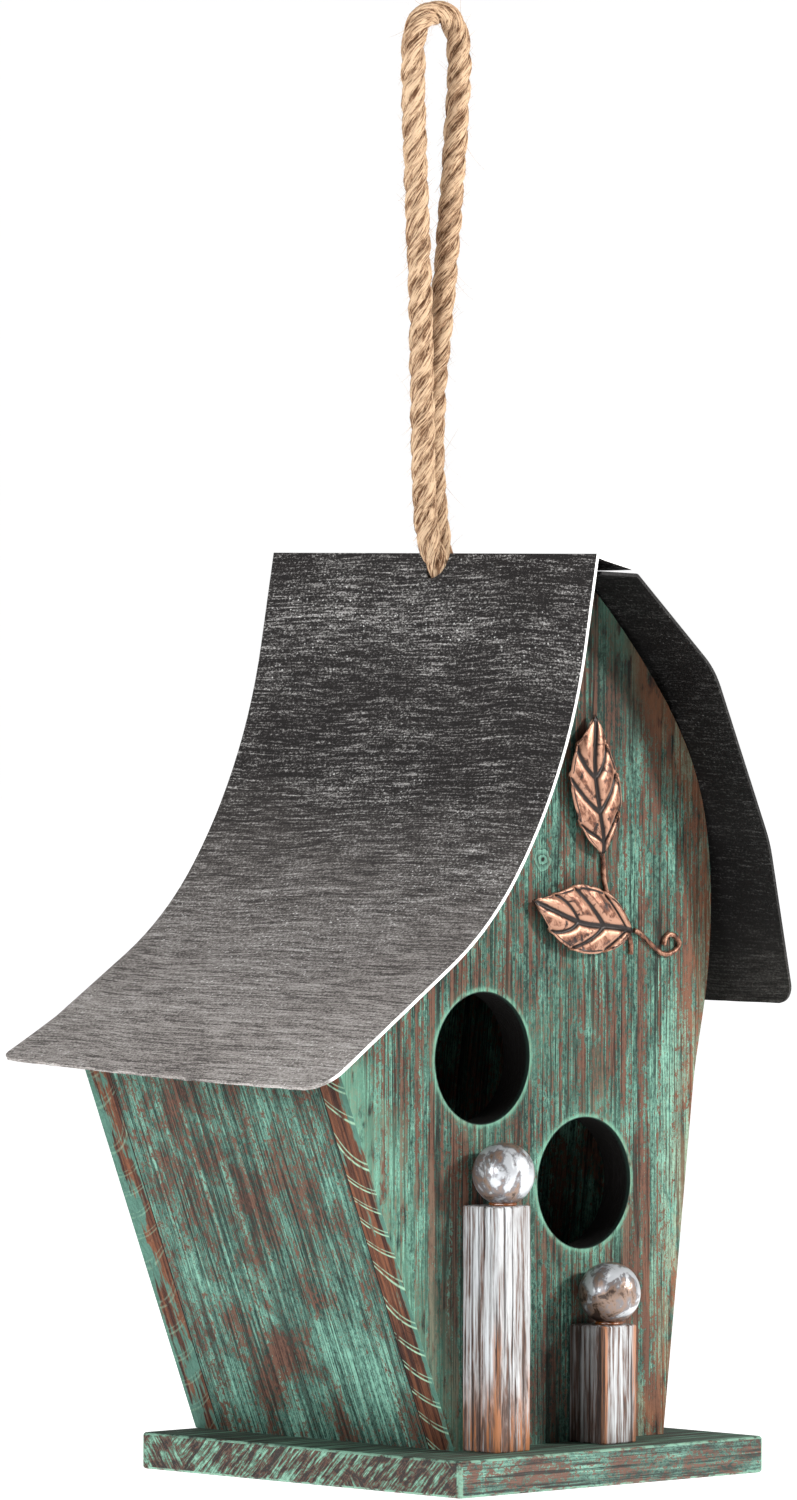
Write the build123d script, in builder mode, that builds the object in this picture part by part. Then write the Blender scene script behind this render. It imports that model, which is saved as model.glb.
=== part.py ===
"""A hanging wooden birdhouse with a swept tin roof, two entry holes and a clean-out door.

Millimetres, +Z up, the front looks along -Y. The origin is the hang point, at the inside of the
rope loop's top, over the middle of the roof ridge. Upright outlines are drawn as (x, height),
with the height counted from the underside of the base board.
"""

import math
import os

from build123d import *

# ---------------------------------------------------------------- driving dimensions
HANG_HEIGHT = 423.0  # hang point above the underside of the base board

BASE_LEFT = -59.0
BASE_RIGHT = 65.8
BASE_FRONT = -72.5
BASE_BACK = 61.2
BOARD = 10.7  # thickness of the base board
BASE_ROUND = 1.0

PANEL = 10.5  # thickness of the front and back panels and of the side walls
FRONT_FACE = -47.5  # outside of the front panel
BACK_FACE = BASE_BACK  # outside of the back panel
FRONT_INSIDE = FRONT_FACE + PANEL
BACK_INSIDE = BACK_FACE - PANEL
HOUSE_FOOT_LEFT = -36.8
HOUSE_FOOT_RIGHT = 49.0
LEFT_LEAN = 0.4145  # sideways run of the left wall for each mm of height
RIGHT_LEAN = 0.1193
RIGHT_WALL_TOP = 158.0
PANEL_PEAK_HEIGHT = 261.6
PANEL_BULGE = ((65.6, 135.4), (68.4, 163.0), (62.7, 202.0), (40.7, 235.9), (15.2, PANEL_PEAK_HEIGHT))
BULGE_STARTS_AT = 112.0  # height where the right edge leaves the straight line of the wall

HOLE_R = 19.0
UPPER_HOLE = (-25.7, 123.3)
LOWER_HOLE = (15.8, 85.7)

SHEET = 1.0  # thickness of the roof tin
ROOF_FRONT = -67.9
ROOF_BACK = 67.3
RIDGE = (0.0, 268.4)
SWEEP_TOP = (-5.1, 241.1)  # below this the left sheet sweeps outwards
SWEEP_MIDDLE = (-32.5, 176.7)
SWEEP_BOTTOM = (-58.7, 151.4)  # from here it is straight to the eave
EAVE_RUN = 60.0
EAVE_FRONT_R = 9.0
EAVE_BACK_R = 4.0
LIP_FALL = 0.262  # fall of the ridge lip for each mm to the right
LIP_REACH = 15.1
RIGHT_BENDS = ((2.0, 263.4), (16.8, 262.7), (49.0, 234.8), (72.3, 184.0), (82.6, 136.6))
RIGHT_BEND_RADII = (2.0, 26.0, 40.0)
RIGHT_CORNER_R = 6.0
ROPE_HOLE_R = 7.4
ROPE_SLOT = 3.6  # how much further the rope hole reaches over the lip than over the left sheet
FLANGE_SLOT = 7.6  # the same, for the flange under the lip

POST_WIDTH = 13.6
POST_DEPTH = 14.4
POST_ROUND = 0.8
TALL_POST_LEFT = -33.6
TALL_POST_TOP = 81.3
SHORT_POST_LEFT = 9.8
SHORT_POST_TOP = 44.9
BALL_R = 8.5
BALL_FLAT = 0.3  # height of the flat that each ball is glued down on
TALL_BALL_X = -25.5
SHORT_BALL_X = 17.9

ROPE_D = 6.5
# The rope's line, up the left-hand strand, over the hang point and down the right-hand strand.
LEFT_STRAND = (
    (3.6, -2.45, -164.8),
    (3.4, -2.35, -162.0),
    (0.95, -1.2, -157.0),
    (-1.9, -0.1, -151.0),
    (-3.8, -0.6, -141.0),
    (-4.8, -1.2, -127.0),
    (-5.25, -1.0, -107.0),
    (-5.0, -0.4, -85.0),
    (-6.1, -0.1, -60.0),
    (-7.6, 0.0, -32.0),
    (-8.0, 0.0, -15.0),
)
LOOP_TOP = ((-8.0, 0.2, -3.5), (-3.6, 0.0, 3.25), (6.4, 0.0, 3.25), (10.8, 0.2, -3.5))
RIGHT_STRAND = (
    (10.8, 0.0, -15.0),
    (9.4, 0.0, -32.0),
    (6.7, 0.1, -60.0),
    (4.3, 0.45, -85.0),
    (1.55, 1.0, -107.0),
    (1.3, 1.25, -127.0),
    (2.5, 1.4, -141.0),
    (4.95, 2.1, -151.0),
    (6.6, 2.7, -157.0),
    (7.6, 2.8, -162.0),
    (7.8, 2.85, -164.8),
)
KNOT_X = 8.7
KNOT_Y = 0.3
KNOT_TOP = 261.1  # height where the knot bears on the underside of the right sheet's flange
KNOT_R = 9.0
KNOT_HEIGHT = 13.0
KNOT_TOP_ROUND = 1.2
KNOT_BOTTOM_ROUND = 4.5
TAIL_D = 6.0
TAIL_LONG = 22.0
TAIL_SPREAD = 13.0  # degrees from straight down

DOOR_X = 5.0  # middle of the clean-out opening
DOOR_WIDTH = 62.0
DOOR_BOTTOM = 27.0
DOOR_TOP = 103.0
DOOR_THICK = 5.5
DOOR_GAP = 0.2
DOOR_CORNER_R = 6.0
OPENING_WIDTH = 46.0
OPENING_BOTTOM = 34.0
OPENING_TOP = 82.0
OPENING_CORNER_R = 5.0
PIVOT_HEIGHT = 94.0
PIVOT_R = 1.9
PIVOT_RUNNING_FIT = 0.05
PIVOT_HEAD_R = 4.2
PIVOT_HEAD = 2.3
PIVOT_HEAD_DOME_R = 5.2
PIVOT_SLOT = 0.9
PIVOT_END_PLAY = 0.1
PIVOT_IN_WOOD = 9.0

WIRE_R = 0.75
LEAF_THICK = 0.9
LEAF_BACK = FRONT_FACE - 2 * WIRE_R  # the wire lies on the panel and the leaves on the wire

FIT = 0.03  # how much wider a fastener's hole is than the fastener, in radius

os.makedirs("parts", exist_ok=True)


# ---------------------------------------------------------------- places and helpers
def upright(y: float) -> Plane:
    """An upright plane at depth y, seen from the front, with its origin at the base's underside."""
    return Plane(origin=(0, y, -HANG_HEIGHT), x_dir=(1, 0, 0), z_dir=(0, -1, 0))


def level(height: float) -> Plane:
    """A level plane at a height above the base's underside."""
    return Plane.XY.offset(height - HANG_HEIGHT)


def place(x: float, y: float, height: float) -> Vector:
    """A point of the house in the part's own frame."""
    return Vector(x, y, height - HANG_HEIGHT)


def left_edge(height: float) -> float:
    """The outside of the left wall at a height."""
    return HOUSE_FOOT_LEFT - LEFT_LEAN * (height - BOARD)


def right_edge(height: float) -> float:
    """The outside of the right wall at a height."""
    return HOUSE_FOOT_RIGHT + RIGHT_LEAN * (height - BOARD)


def looking(point: Vector, direction: tuple[float, float, float]) -> Location:
    """Where a fastener goes whose head is at the point and whose head looks along direction."""
    return Location(Plane(origin=point, z_dir=direction))


def save(piece: Part, name: str) -> None:
    """Labels a finished piece and writes it as one STEP file."""
    piece.label = name
    export_step(piece, f"parts/{name}.step")


# ---------------------------------------------------------------- fasteners
def wood_screw(wider: float = 0.0) -> Part:
    """A countersunk screw with its head face at the origin and its point down."""
    head_r = 3.6 + wider
    shank_r = 1.75 + wider
    length = 30.0 + wider
    with BuildPart() as screw:
        with BuildSketch(Plane.XZ):
            with BuildLine():
                Polyline(
                    (0, 0),
                    (head_r, 0),
                    (shank_r, shank_r - head_r),
                    (shank_r, 2 * shank_r - length),
                    (0, -length),
                    close=True,
                )
            make_face()
        revolve(axis=Axis.Z)
    return screw.part


def nail(head_r: float, head: float, shank_r: float, length: float) -> Part:
    """A flat-headed nail with the underside of its head at the origin and its point down."""
    with BuildPart() as one_nail:
        with BuildSketch(Plane.XZ):
            with BuildLine():
                Polyline(
                    (0, head),
                    (0.75 * head_r, head),
                    (head_r, 0.5 * head),
                    (head_r, 0),
                    (shank_r, 0),
                    (shank_r, 2 * shank_r - length),
                    (0, -length),
                    close=True,
                )
            make_face()
        revolve(axis=Axis.Z)
    return one_nail.part


def driven(fastener: Part, places: list[Location]) -> Part:
    """One fastener driven in at each of the places."""
    with BuildPart() as fasteners:
        with Locations(*places):
            add(fastener)
    return fasteners.part


SCREW_X = (-18.0, 30.0)
PANEL_MIDDLES = (FRONT_FACE + PANEL / 2, BACK_FACE - PANEL / 2)
screw_places = [looking(place(x, y, 0.0), (0, 0, -1)) for x in SCREW_X for y in PANEL_MIDDLES]
save(driven(wood_screw(), screw_places), "base_screws")

BRAD = (1.2, 0.9, 0.8, 28.0)  # head radius, head, shank radius, length
BRAD_HOLE = (BRAD[0] + FIT, BRAD[1] + FIT, BRAD[2] + FIT, BRAD[3] + FIT)
BRAD_SET = 2.4  # how deep each brad is set under the filled and painted face
BRAD_HEIGHTS = (40.0, 104.0)
brad_spots = [(left_edge(h) + 0.55 * PANEL, h) for h in BRAD_HEIGHTS]
brad_spots += [(right_edge(h) - 0.5 * PANEL, h) for h in BRAD_HEIGHTS]
front_brads = [looking(place(x, FRONT_FACE + BRAD_SET, h), (0, -1, 0)) for x, h in brad_spots]
back_brads = [looking(place(x, BACK_FACE - BRAD_SET, h), (0, 1, 0)) for x, h in brad_spots]
save(driven(nail(*BRAD), front_brads), "front_panel_brads")
save(driven(nail(*BRAD), back_brads), "back_panel_brads")

TIN_NAIL = (2.3, 0.8, 0.75, 14.0)
TIN_NAIL_HOLE_R = TIN_NAIL[2] + FIT
RIDGE_NAIL_X = 9.0
SIDE_NAIL = (63.6, 203.0)  # on the flat of the right sheet that lies against the panels
SIDE_NAIL_LOOKS = (0.9089, 0, 0.4169)
RIDGE_NAIL = (RIDGE_NAIL_X, RIDGE[1] - LIP_FALL * RIDGE_NAIL_X)
RIDGE_NAIL_LOOKS = (LIP_FALL, 0, 1)
roof_nails = []
for y in PANEL_MIDDLES:
    roof_nails.append(looking(place(RIDGE_NAIL[0], y, RIDGE_NAIL[1]), RIDGE_NAIL_LOOKS))
    roof_nails.append(looking(place(SIDE_NAIL[0], y, SIDE_NAIL[1]), SIDE_NAIL_LOOKS))
save(driven(nail(*TIN_NAIL), roof_nails), "roof_nails")


def nail_holes() -> None:
    """Bores the roof nails' holes in the piece being built."""
    with Locations(*roof_nails):
        Cylinder(TIN_NAIL_HOLE_R, 2 * (TIN_NAIL[3] + FIT), mode=Mode.SUBTRACT)


LEAF_PINS = ((17.4, 199.4), (13.6, 161.0))
LEAF_PIN = (1.1, 0.7, 0.45, 9.0)
pin_places = [looking(place(x, LEAF_BACK - LEAF_THICK, h), (0, -1, 0)) for x, h in LEAF_PINS]
save(driven(nail(*LEAF_PIN), pin_places), "leaf_pins")


def pin_holes() -> None:
    """Bores the leaf pins' holes in the piece being built."""
    with Locations(*pin_places):
        Cylinder(LEAF_PIN[2] + FIT, 2 * (LEAF_PIN[3] + FIT), mode=Mode.SUBTRACT)


# ---------------------------------------------------------------- roof
with BuildPart() as roof_left_sheet:
    with BuildSketch(upright(ROOF_BACK)):
        with BuildLine():
            lip = Line((LIP_REACH, RIDGE[1] - LIP_FALL * LIP_REACH), RIDGE)
            steep = Line(RIDGE, SWEEP_TOP)
            upper = TangentArc(SWEEP_TOP, SWEEP_MIDDLE, tangent=steep % 1)
            lower = TangentArc(SWEEP_MIDDLE, SWEEP_BOTTOM, tangent=upper % 1)
            eave = PolarLine(SWEEP_BOTTOM, EAVE_RUN, direction=lower % 1)
            offset(amount=SHEET, side=Side.LEFT)
        make_face()
    extrude(amount=ROOF_BACK - ROOF_FRONT)
    corners = roof_left_sheet.edges().filter_by(lambda e: abs(e.length - SHEET) < 0.01)
    eave_corners = corners.sort_by(Axis.X)[:2].sort_by(Axis.Y)
    fillet(eave_corners[0], EAVE_FRONT_R)
    fillet(eave_corners[1], EAVE_BACK_R)
    # Everything above the outside of the sweep, to trim the wood to the underside of the tin.
    with BuildSketch(upright(ROOF_BACK), mode=Mode.PRIVATE) as over_left_sheet:
        with BuildLine():
            add([steep, upper, lower, eave])
            Polyline(RIDGE, (RIDGE[0], 300), (-160, 300), (-160, 100), eave @ 1)
        make_face()

with BuildPart() as over_left:
    add(extrude(over_left_sheet.sketch, amount=ROOF_BACK - ROOF_FRONT, mode=Mode.PRIVATE))

def rope_hole(reach: float) -> Part:
    """What the rope hole takes away, round on the steep left sheet and longer over the top."""
    with BuildPart() as hole:
        with BuildSketch(level(RIDGE[1] + 1.5)):
            with BuildLine():
                Line((0, -ROPE_HOLE_R), (reach, -ROPE_HOLE_R))
                CenterArc((reach, 0), ROPE_HOLE_R, -90, 180)
                Polyline((reach, ROPE_HOLE_R), (0, ROPE_HOLE_R), (0, -ROPE_HOLE_R))
            make_face()
        extrude(amount=-8.5)
        with Locations(Location(Plane(origin=place(-2.5, 0, RIDGE[1]), z_dir=(1, 0, 0)))):
            Cylinder(ROPE_HOLE_R, 6.0)
    return hole.part


with BuildPart() as left_sheet_with_hole:
    add(roof_left_sheet.part)
    add(rope_hole(ROPE_SLOT), mode=Mode.SUBTRACT)
    nail_holes()
save(left_sheet_with_hole.part, "roof_left_sheet")

with BuildPart() as roof_right_sheet:
    with BuildSketch(upright(ROOF_BACK)):
        with BuildLine():
            FilletPolyline(*RIGHT_BENDS, radius=RIGHT_BEND_RADII)
            offset(amount=SHEET, side=Side.RIGHT)
        make_face()
    extrude(amount=ROOF_BACK - ROOF_FRONT)
    corners = roof_right_sheet.edges().filter_by(lambda e: abs(e.length - SHEET) < 0.01)
    fillet(corners.sort_by(Axis.X)[-2:], RIGHT_CORNER_R)
    add(rope_hole(FLANGE_SLOT), mode=Mode.SUBTRACT)
    nail_holes()
save(roof_right_sheet.part, "roof_right_sheet")


# ---------------------------------------------------------------- house of five boards
def house_panel(outside: float, inside: float) -> Part:
    """The front or back panel's blank, between two depths, cut to the underside of the roof."""
    with BuildPart() as blank:
        with BuildSketch(upright(max(outside, inside))):
            with BuildLine():
                foot_left = (HOUSE_FOOT_LEFT, BOARD)
                foot_right = (HOUSE_FOOT_RIGHT, BOARD)
                bulge_start = (right_edge(BULGE_STARTS_AT), BULGE_STARTS_AT)
                Line(foot_left, foot_right)
                Line(foot_right, bulge_start)
                Spline(bulge_start, *PANEL_BULGE, tangents=((RIGHT_LEAN, 1), (-0.76, 0.65)))
                Polyline(
                    PANEL_BULGE[-1],
                    (-3.0, PANEL_PEAK_HEIGHT),
                    (-60.0, 200.0),
                    (left_edge(145.0), 145.0),
                    foot_left,
                )
            make_face()
        extrude(amount=PANEL)
        add(over_left.part, mode=Mode.SUBTRACT)
        add(roof_left_sheet.part, mode=Mode.SUBTRACT)
        add(roof_right_sheet.part, mode=Mode.SUBTRACT)
        nail_holes()
        with Locations(*screw_places):
            add(wood_screw(FIT), mode=Mode.SUBTRACT)
    return blank.part


with BuildPart() as front_panel:
    add(house_panel(FRONT_FACE, FRONT_INSIDE))
    with BuildSketch(upright(FRONT_INSIDE)):
        with Locations(UPPER_HOLE, LOWER_HOLE):
            Circle(HOLE_R)
    extrude(amount=PANEL, mode=Mode.SUBTRACT)
    with Locations(*front_brads):
        add(nail(*BRAD_HOLE), mode=Mode.SUBTRACT)
    pin_holes()
save(front_panel.part, "front_panel")

with BuildPart() as back_panel:
    add(house_panel(BACK_FACE, BACK_INSIDE))
    with BuildSketch(upright(BACK_FACE)):
        with Locations((DOOR_X, (OPENING_BOTTOM + OPENING_TOP) / 2)):
            RectangleRounded(OPENING_WIDTH, OPENING_TOP - OPENING_BOTTOM, OPENING_CORNER_R)
    extrude(amount=PANEL, mode=Mode.SUBTRACT)
    with BuildSketch(upright(BACK_FACE)):
        with Locations((DOOR_X, PIVOT_HEIGHT)):
            Circle(PIVOT_R + FIT)
    extrude(amount=PIVOT_IN_WOOD + FIT, mode=Mode.SUBTRACT)
    with Locations(*back_brads):
        add(nail(*BRAD_HOLE), mode=Mode.SUBTRACT)
save(back_panel.part, "back_panel")


def side_wall(foot: float, lean: float, inwards: float, top: float) -> Part:
    """A leaning side board between the two panels."""
    thick = inwards * PANEL * math.hypot(1, lean)
    side = math.copysign(1, inwards)
    head = foot - side * lean * (top - BOARD)
    with BuildPart() as board:
        with BuildSketch(upright(BACK_INSIDE)):
            with BuildLine():
                Polyline(
                    (foot, BOARD), (foot + thick, BOARD), (head + thick, top), (head, top), close=True
                )
            make_face()
        extrude(amount=BACK_INSIDE - FRONT_INSIDE)
        with Locations(*front_brads, *back_brads):
            add(nail(*BRAD_HOLE), mode=Mode.SUBTRACT)
    return board.part


with BuildPart() as left_wall:
    add(side_wall(HOUSE_FOOT_LEFT, LEFT_LEAN, 1, 150.0))
    add(over_left.part, mode=Mode.SUBTRACT)
    add(roof_left_sheet.part, mode=Mode.SUBTRACT)
save(left_wall.part, "left_wall")

with BuildPart() as right_wall:
    add(side_wall(HOUSE_FOOT_RIGHT, RIGHT_LEAN, -1, RIGHT_WALL_TOP))
save(right_wall.part, "right_wall")

with BuildPart() as base_board:
    with BuildSketch(level(0)):
        with Locations(((BASE_LEFT + BASE_RIGHT) / 2, (BASE_FRONT + BASE_BACK) / 2)):
            Rectangle(BASE_RIGHT - BASE_LEFT, BASE_BACK - BASE_FRONT)
    extrude(amount=BOARD)
    fillet(base_board.edges().filter_by(Axis.Z), 2 * BASE_ROUND)
    fillet(base_board.faces().sort_by(Axis.Z)[-1].edges(), BASE_ROUND)
    fillet(base_board.faces().sort_by(Axis.Z)[0].edges(), BASE_ROUND)
    with Locations(*screw_places):
        add(wood_screw(FIT), mode=Mode.SUBTRACT)
save(base_board.part, "base_board")


# ---------------------------------------------------------------- posts with balls
def post(left: float, top: float) -> Part:
    """A square post that stands on the base board, glued against the front panel."""
    with BuildPart() as stick:
        with BuildSketch(level(BOARD)):
            with Locations((left, FRONT_FACE)):
                Rectangle(POST_WIDTH, POST_DEPTH, align=(Align.MIN, Align.MAX))
        extrude(amount=top - BOARD)
        fillet(stick.edges().filter_by(Axis.Z).sort_by(Axis.Y)[:2], POST_ROUND)
    return stick.part


def ball(x: float, post_top: float) -> Part:
    """A wooden ball on a post, close against the front panel, flattened where it is glued down."""
    centre_height = BALL_R - BALL_FLAT
    with BuildPart() as knob:
        with Locations(place(x, FRONT_FACE - BALL_R, post_top + centre_height)):
            Sphere(BALL_R)
        split(bisect_by=level(post_top), keep=Keep.TOP)
    return knob.part


save(post(TALL_POST_LEFT, TALL_POST_TOP), "tall_post")
save(post(SHORT_POST_LEFT, SHORT_POST_TOP), "short_post")
save(ball(TALL_BALL_X, TALL_POST_TOP), "tall_post_ball")
save(ball(SHORT_BALL_X, SHORT_POST_TOP), "short_post_ball")

# ---------------------------------------------------------------- copper sprig
UPPER_LEAF_LEFT = ((17.6, 221.4), (8.6, 211.5), (7.3, 199.5), (13.5, 186.4), (21.3, 181.0))
UPPER_LEAF_RIGHT = ((21.3, 181.0), (26.8, 190.5), (27.6, 201.0), (22.6, 211.8), (17.6, 221.4))
LOWER_LEAF_TOP = ((-7.5, 168.2), (2.0, 170.6), (12.5, 172.5), (25.0, 168.4), (33.6, 158.4))
LOWER_LEAF_BOTTOM = ((33.6, 158.4), (25.0, 153.4), (12.0, 152.6), (0.5, 157.8), (-7.5, 168.2))
STEM = ((21.0, 186.0), (22.6, 179.0), (23.2, 173.0), (27.5, 164.5), (33.2, 157.6), (34.1, 151.6))
TENDRIL = ((35.5, 158.6), (42.2, 154.6), (50.2, 151.4), (54.4, 154.4), (51.4, 156.9), (47.9, 154.0))
def leaf(*sides: tuple[tuple[float, float], ...]) -> Part:
    """A stamped leaf between its two edges, lying on the wire."""
    with BuildPart() as blade:
        with BuildSketch(upright(LEAF_BACK)):
            with BuildLine():
                for side in sides:
                    Spline(*side)
            make_face()
        extrude(amount=LEAF_THICK)
        pin_holes()
    return blade.part


def wire(*points: tuple[float, float]) -> Part:
    """A round wire that lies on the front panel."""
    with BuildPart() as bent:
        with BuildLine(upright(FRONT_FACE - WIRE_R)) as line:
            Spline(*points)
        with BuildSketch(Plane(origin=line.line @ 0, z_dir=line.line % 0)):
            Circle(WIRE_R)
        sweep(path=line.line)
    return bent.part



save(leaf(UPPER_LEAF_LEFT, UPPER_LEAF_RIGHT), "upper_leaf")
save(leaf(LOWER_LEAF_TOP, LOWER_LEAF_BOTTOM), "lower_leaf")
save(wire(*STEM), "leaf_stem")
save(wire(*TENDRIL), "leaf_tendril")

# ---------------------------------------------------------------- rope
ROUTE = [Vector(*point) for point in LEFT_STRAND + LOOP_TOP + RIGHT_STRAND]
bend_radii = []
for before, corner, after in zip(ROUTE, ROUTE[1:], ROUTE[2:]):
    shorter_run = min((corner - before).length, (after - corner).length)
    half_turn = math.radians((corner - before).get_angle(after - corner)) / 2
    bend_radii.append(0.45 * shorter_run / math.tan(half_turn))
print("rope bend radii", [round(radius, 1) for radius in bend_radii])

with BuildPart() as hanging_rope:
    with BuildLine() as rope_line:
        FilletPolyline(*ROUTE, radius=bend_radii)
    with BuildSketch(Plane(origin=rope_line.line @ 0, z_dir=rope_line.line % 0)):
        Circle(ROPE_D / 2)
    sweep(path=rope_line.line)
save(hanging_rope.part, "hanging_rope")
rope_length = rope_line.wires()[0].length
section = math.pi * (ROPE_D / 2) ** 2
print("rope length", round(rope_length, 1))
print("rope volume over section times length", hanging_rope.part.volume / (section * rope_length))

with BuildPart() as rope_knot:
    with Locations(place(KNOT_X, KNOT_Y, KNOT_TOP)):
        Cylinder(KNOT_R, KNOT_HEIGHT, align=(Align.CENTER, Align.CENTER, Align.MAX))
    rims = rope_knot.edges().filter_by(GeomType.CIRCLE).sort_by(Axis.Z)
    fillet(rims[0], KNOT_BOTTOM_ROUND)
    fillet(rims[-1], KNOT_TOP_ROUND)
    for side in (-1, 1):
        root = place(KNOT_X + side * TAIL_D / 2, KNOT_Y, KNOT_TOP - KNOT_HEIGHT / 2)
        with Locations(Location(root, (0, side * -TAIL_SPREAD, 0))):
            Cylinder(TAIL_D / 2, TAIL_LONG, align=(Align.CENTER, Align.CENTER, Align.MAX))
save(rope_knot.part, "rope_knot")

# ---------------------------------------------------------------- clean-out door
DOOR_OUTSIDE = BACK_FACE + DOOR_GAP + DOOR_THICK
with BuildPart() as clean_out_door:
    with BuildSketch(upright(DOOR_OUTSIDE)):
        with Locations((DOOR_X, (DOOR_BOTTOM + DOOR_TOP) / 2)):
            RectangleRounded(DOOR_WIDTH, DOOR_TOP - DOOR_BOTTOM, DOOR_CORNER_R)
        with Locations((DOOR_X, PIVOT_HEIGHT)):
            Circle(PIVOT_R + PIVOT_RUNNING_FIT, mode=Mode.SUBTRACT)
    extrude(amount=DOOR_THICK)
save(clean_out_door.part, "clean_out_door")

PIVOT_LONG = PIVOT_IN_WOOD + DOOR_GAP + DOOR_THICK + PIVOT_END_PLAY
with BuildPart() as door_pivot_screw:
    with BuildSketch(Plane.XZ):
        with BuildLine():
            Polyline((0, PIVOT_HEAD), (0, -PIVOT_LONG), (PIVOT_R, PIVOT_R - PIVOT_LONG))
            Polyline((PIVOT_R, PIVOT_R - PIVOT_LONG), (PIVOT_R, 0), (PIVOT_HEAD_R, 0))
            RadiusArc((0, PIVOT_HEAD), (PIVOT_HEAD_R, 0), PIVOT_HEAD_DOME_R)
        make_face()
    revolve(axis=Axis.Z)
    with Locations((0, 0, PIVOT_HEAD)):
        Box(3 * PIVOT_HEAD_R, PIVOT_SLOT, PIVOT_HEAD, mode=Mode.SUBTRACT)
screw_place = looking(place(DOOR_X, DOOR_OUTSIDE + PIVOT_END_PLAY, PIVOT_HEIGHT), (0, 1, 0))
save(driven(door_pivot_screw.part, [screw_place]), "door_pivot_screw")
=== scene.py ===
"""Looks of a hanging birdhouse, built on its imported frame. Metres, +Z up, the front looks along -Y."""

import logging
import math
import random
from dataclasses import dataclass
from enum import Enum

import bpy
from mathutils import Matrix, Vector, noise


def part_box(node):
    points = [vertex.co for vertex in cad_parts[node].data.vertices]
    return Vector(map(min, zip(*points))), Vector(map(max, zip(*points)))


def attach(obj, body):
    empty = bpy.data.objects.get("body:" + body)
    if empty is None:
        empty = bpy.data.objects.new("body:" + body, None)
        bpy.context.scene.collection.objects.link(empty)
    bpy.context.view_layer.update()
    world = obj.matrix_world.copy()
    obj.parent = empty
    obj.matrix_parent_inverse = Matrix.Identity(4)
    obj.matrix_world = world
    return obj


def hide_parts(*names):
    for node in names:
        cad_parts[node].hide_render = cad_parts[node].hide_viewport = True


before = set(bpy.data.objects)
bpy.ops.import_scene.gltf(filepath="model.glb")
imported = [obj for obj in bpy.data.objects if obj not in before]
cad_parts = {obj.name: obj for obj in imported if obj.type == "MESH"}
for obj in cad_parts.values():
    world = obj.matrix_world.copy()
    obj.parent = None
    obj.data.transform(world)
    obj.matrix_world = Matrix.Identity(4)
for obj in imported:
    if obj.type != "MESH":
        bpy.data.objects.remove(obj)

log = logging.getLogger("birdhouse")
MM = 0.001
BASE_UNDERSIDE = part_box("base_board")[0].z
Triple = tuple[float, float, float]
Colour = Triple
Socket = bpy.types.NodeSocket


def tint(red: int, green: int, blue: int) -> Colour:
    """A colour given in 0 to 255 as the linear values that shaders use."""
    shares = (red / 255, green / 255, blue / 255)
    return tuple(c / 12.92 if c <= 10 / 255 else ((c + 0.055) / 1.055) ** 2.4 for c in shares)


def at(x: float, y: float, height: float) -> Vector:
    """A point in metres from millimetres, with its height over the base board's underside."""
    return Vector((x * MM, y * MM, height * MM + BASE_UNDERSIDE))


# ---------------------------------------------------------------- bench work
def deselect() -> None:
    """Leaves nothing selected, in object mode."""
    if bpy.context.object is not None and bpy.context.object.mode != "OBJECT":
        bpy.ops.object.mode_set(mode="OBJECT")
    bpy.ops.object.select_all(action="DESELECT")


def take(piece: bpy.types.Object) -> None:
    """Makes one piece the only selected and the active one."""
    deselect()
    piece.select_set(True)
    bpy.context.view_layer.objects.active = piece


def apply_modifiers(piece: bpy.types.Object) -> None:
    """Applies every modifier of a piece, in order."""
    take(piece)
    for modifier in list(piece.modifiers):
        bpy.ops.object.modifier_apply(modifier=modifier.name)


def settle(piece: bpy.types.Object) -> None:
    """Applies a piece's place, turn and size to its mesh."""
    take(piece)
    bpy.ops.object.transform_apply(location=True, rotation=True, scale=True)


def put_in_scene(name: str, data: bpy.types.ID) -> bpy.types.Object:
    """A new object in the scene that shows some data."""
    piece = bpy.data.objects.new(name, data)
    bpy.context.scene.collection.objects.link(piece)
    return piece


def turn_outwards(piece: bpy.types.Object, merge: float = 0.0) -> None:
    """Turns a piece's faces outwards, and first merges its doubles where a distance is given."""
    take(piece)
    bpy.ops.object.mode_set(mode="EDIT")
    bpy.ops.mesh.select_all(action="SELECT")
    if merge:
        bpy.ops.mesh.remove_doubles(threshold=merge)
    bpy.ops.mesh.normals_make_consistent(inside=False)
    bpy.ops.object.mode_set(mode="OBJECT")


def clamped(value: float) -> float:
    """A number kept between 0 and 1."""
    return min(max(value, 0.0), 1.0)


def cad_copy(node: str, name: str) -> bpy.types.Object:
    """A copy of a CAD node as a clean mesh.

    Args:
        node: The CAD node.
        name: The new piece's name.

    Returns:
        The new piece, with its doubles merged and its flat faces made whole.
    """
    piece = put_in_scene(name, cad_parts[node].data.copy())
    piece.data.materials.clear()
    take(piece)
    bpy.ops.mesh.customdata_custom_splitnormals_clear()
    bpy.ops.object.mode_set(mode="EDIT")
    bpy.ops.mesh.select_all(action="SELECT")
    bpy.ops.mesh.remove_doubles(threshold=2e-6)
    bpy.ops.mesh.dissolve_limited(angle_limit=math.radians(0.3))
    bpy.ops.object.mode_set(mode="OBJECT")
    return piece


def cut_across(piece: bpy.types.Object, places: list[float], axis: int) -> None:
    """Cuts a piece's faces by parallel planes, so that they can be bent.

    Args:
        piece: The piece.
        places: Where each plane stands along the axis, in metres.
        axis: 0, 1 or 2 for X, Y or Z.
    """
    take(piece)
    normal = [float(axis == i) for i in range(3)]
    bpy.ops.object.mode_set(mode="EDIT")
    for place in places:
        bpy.ops.mesh.select_all(action="SELECT")
        bpy.ops.mesh.bisect(plane_co=[place * n for n in normal], plane_no=normal)
    bpy.ops.object.mode_set(mode="OBJECT")


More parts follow.
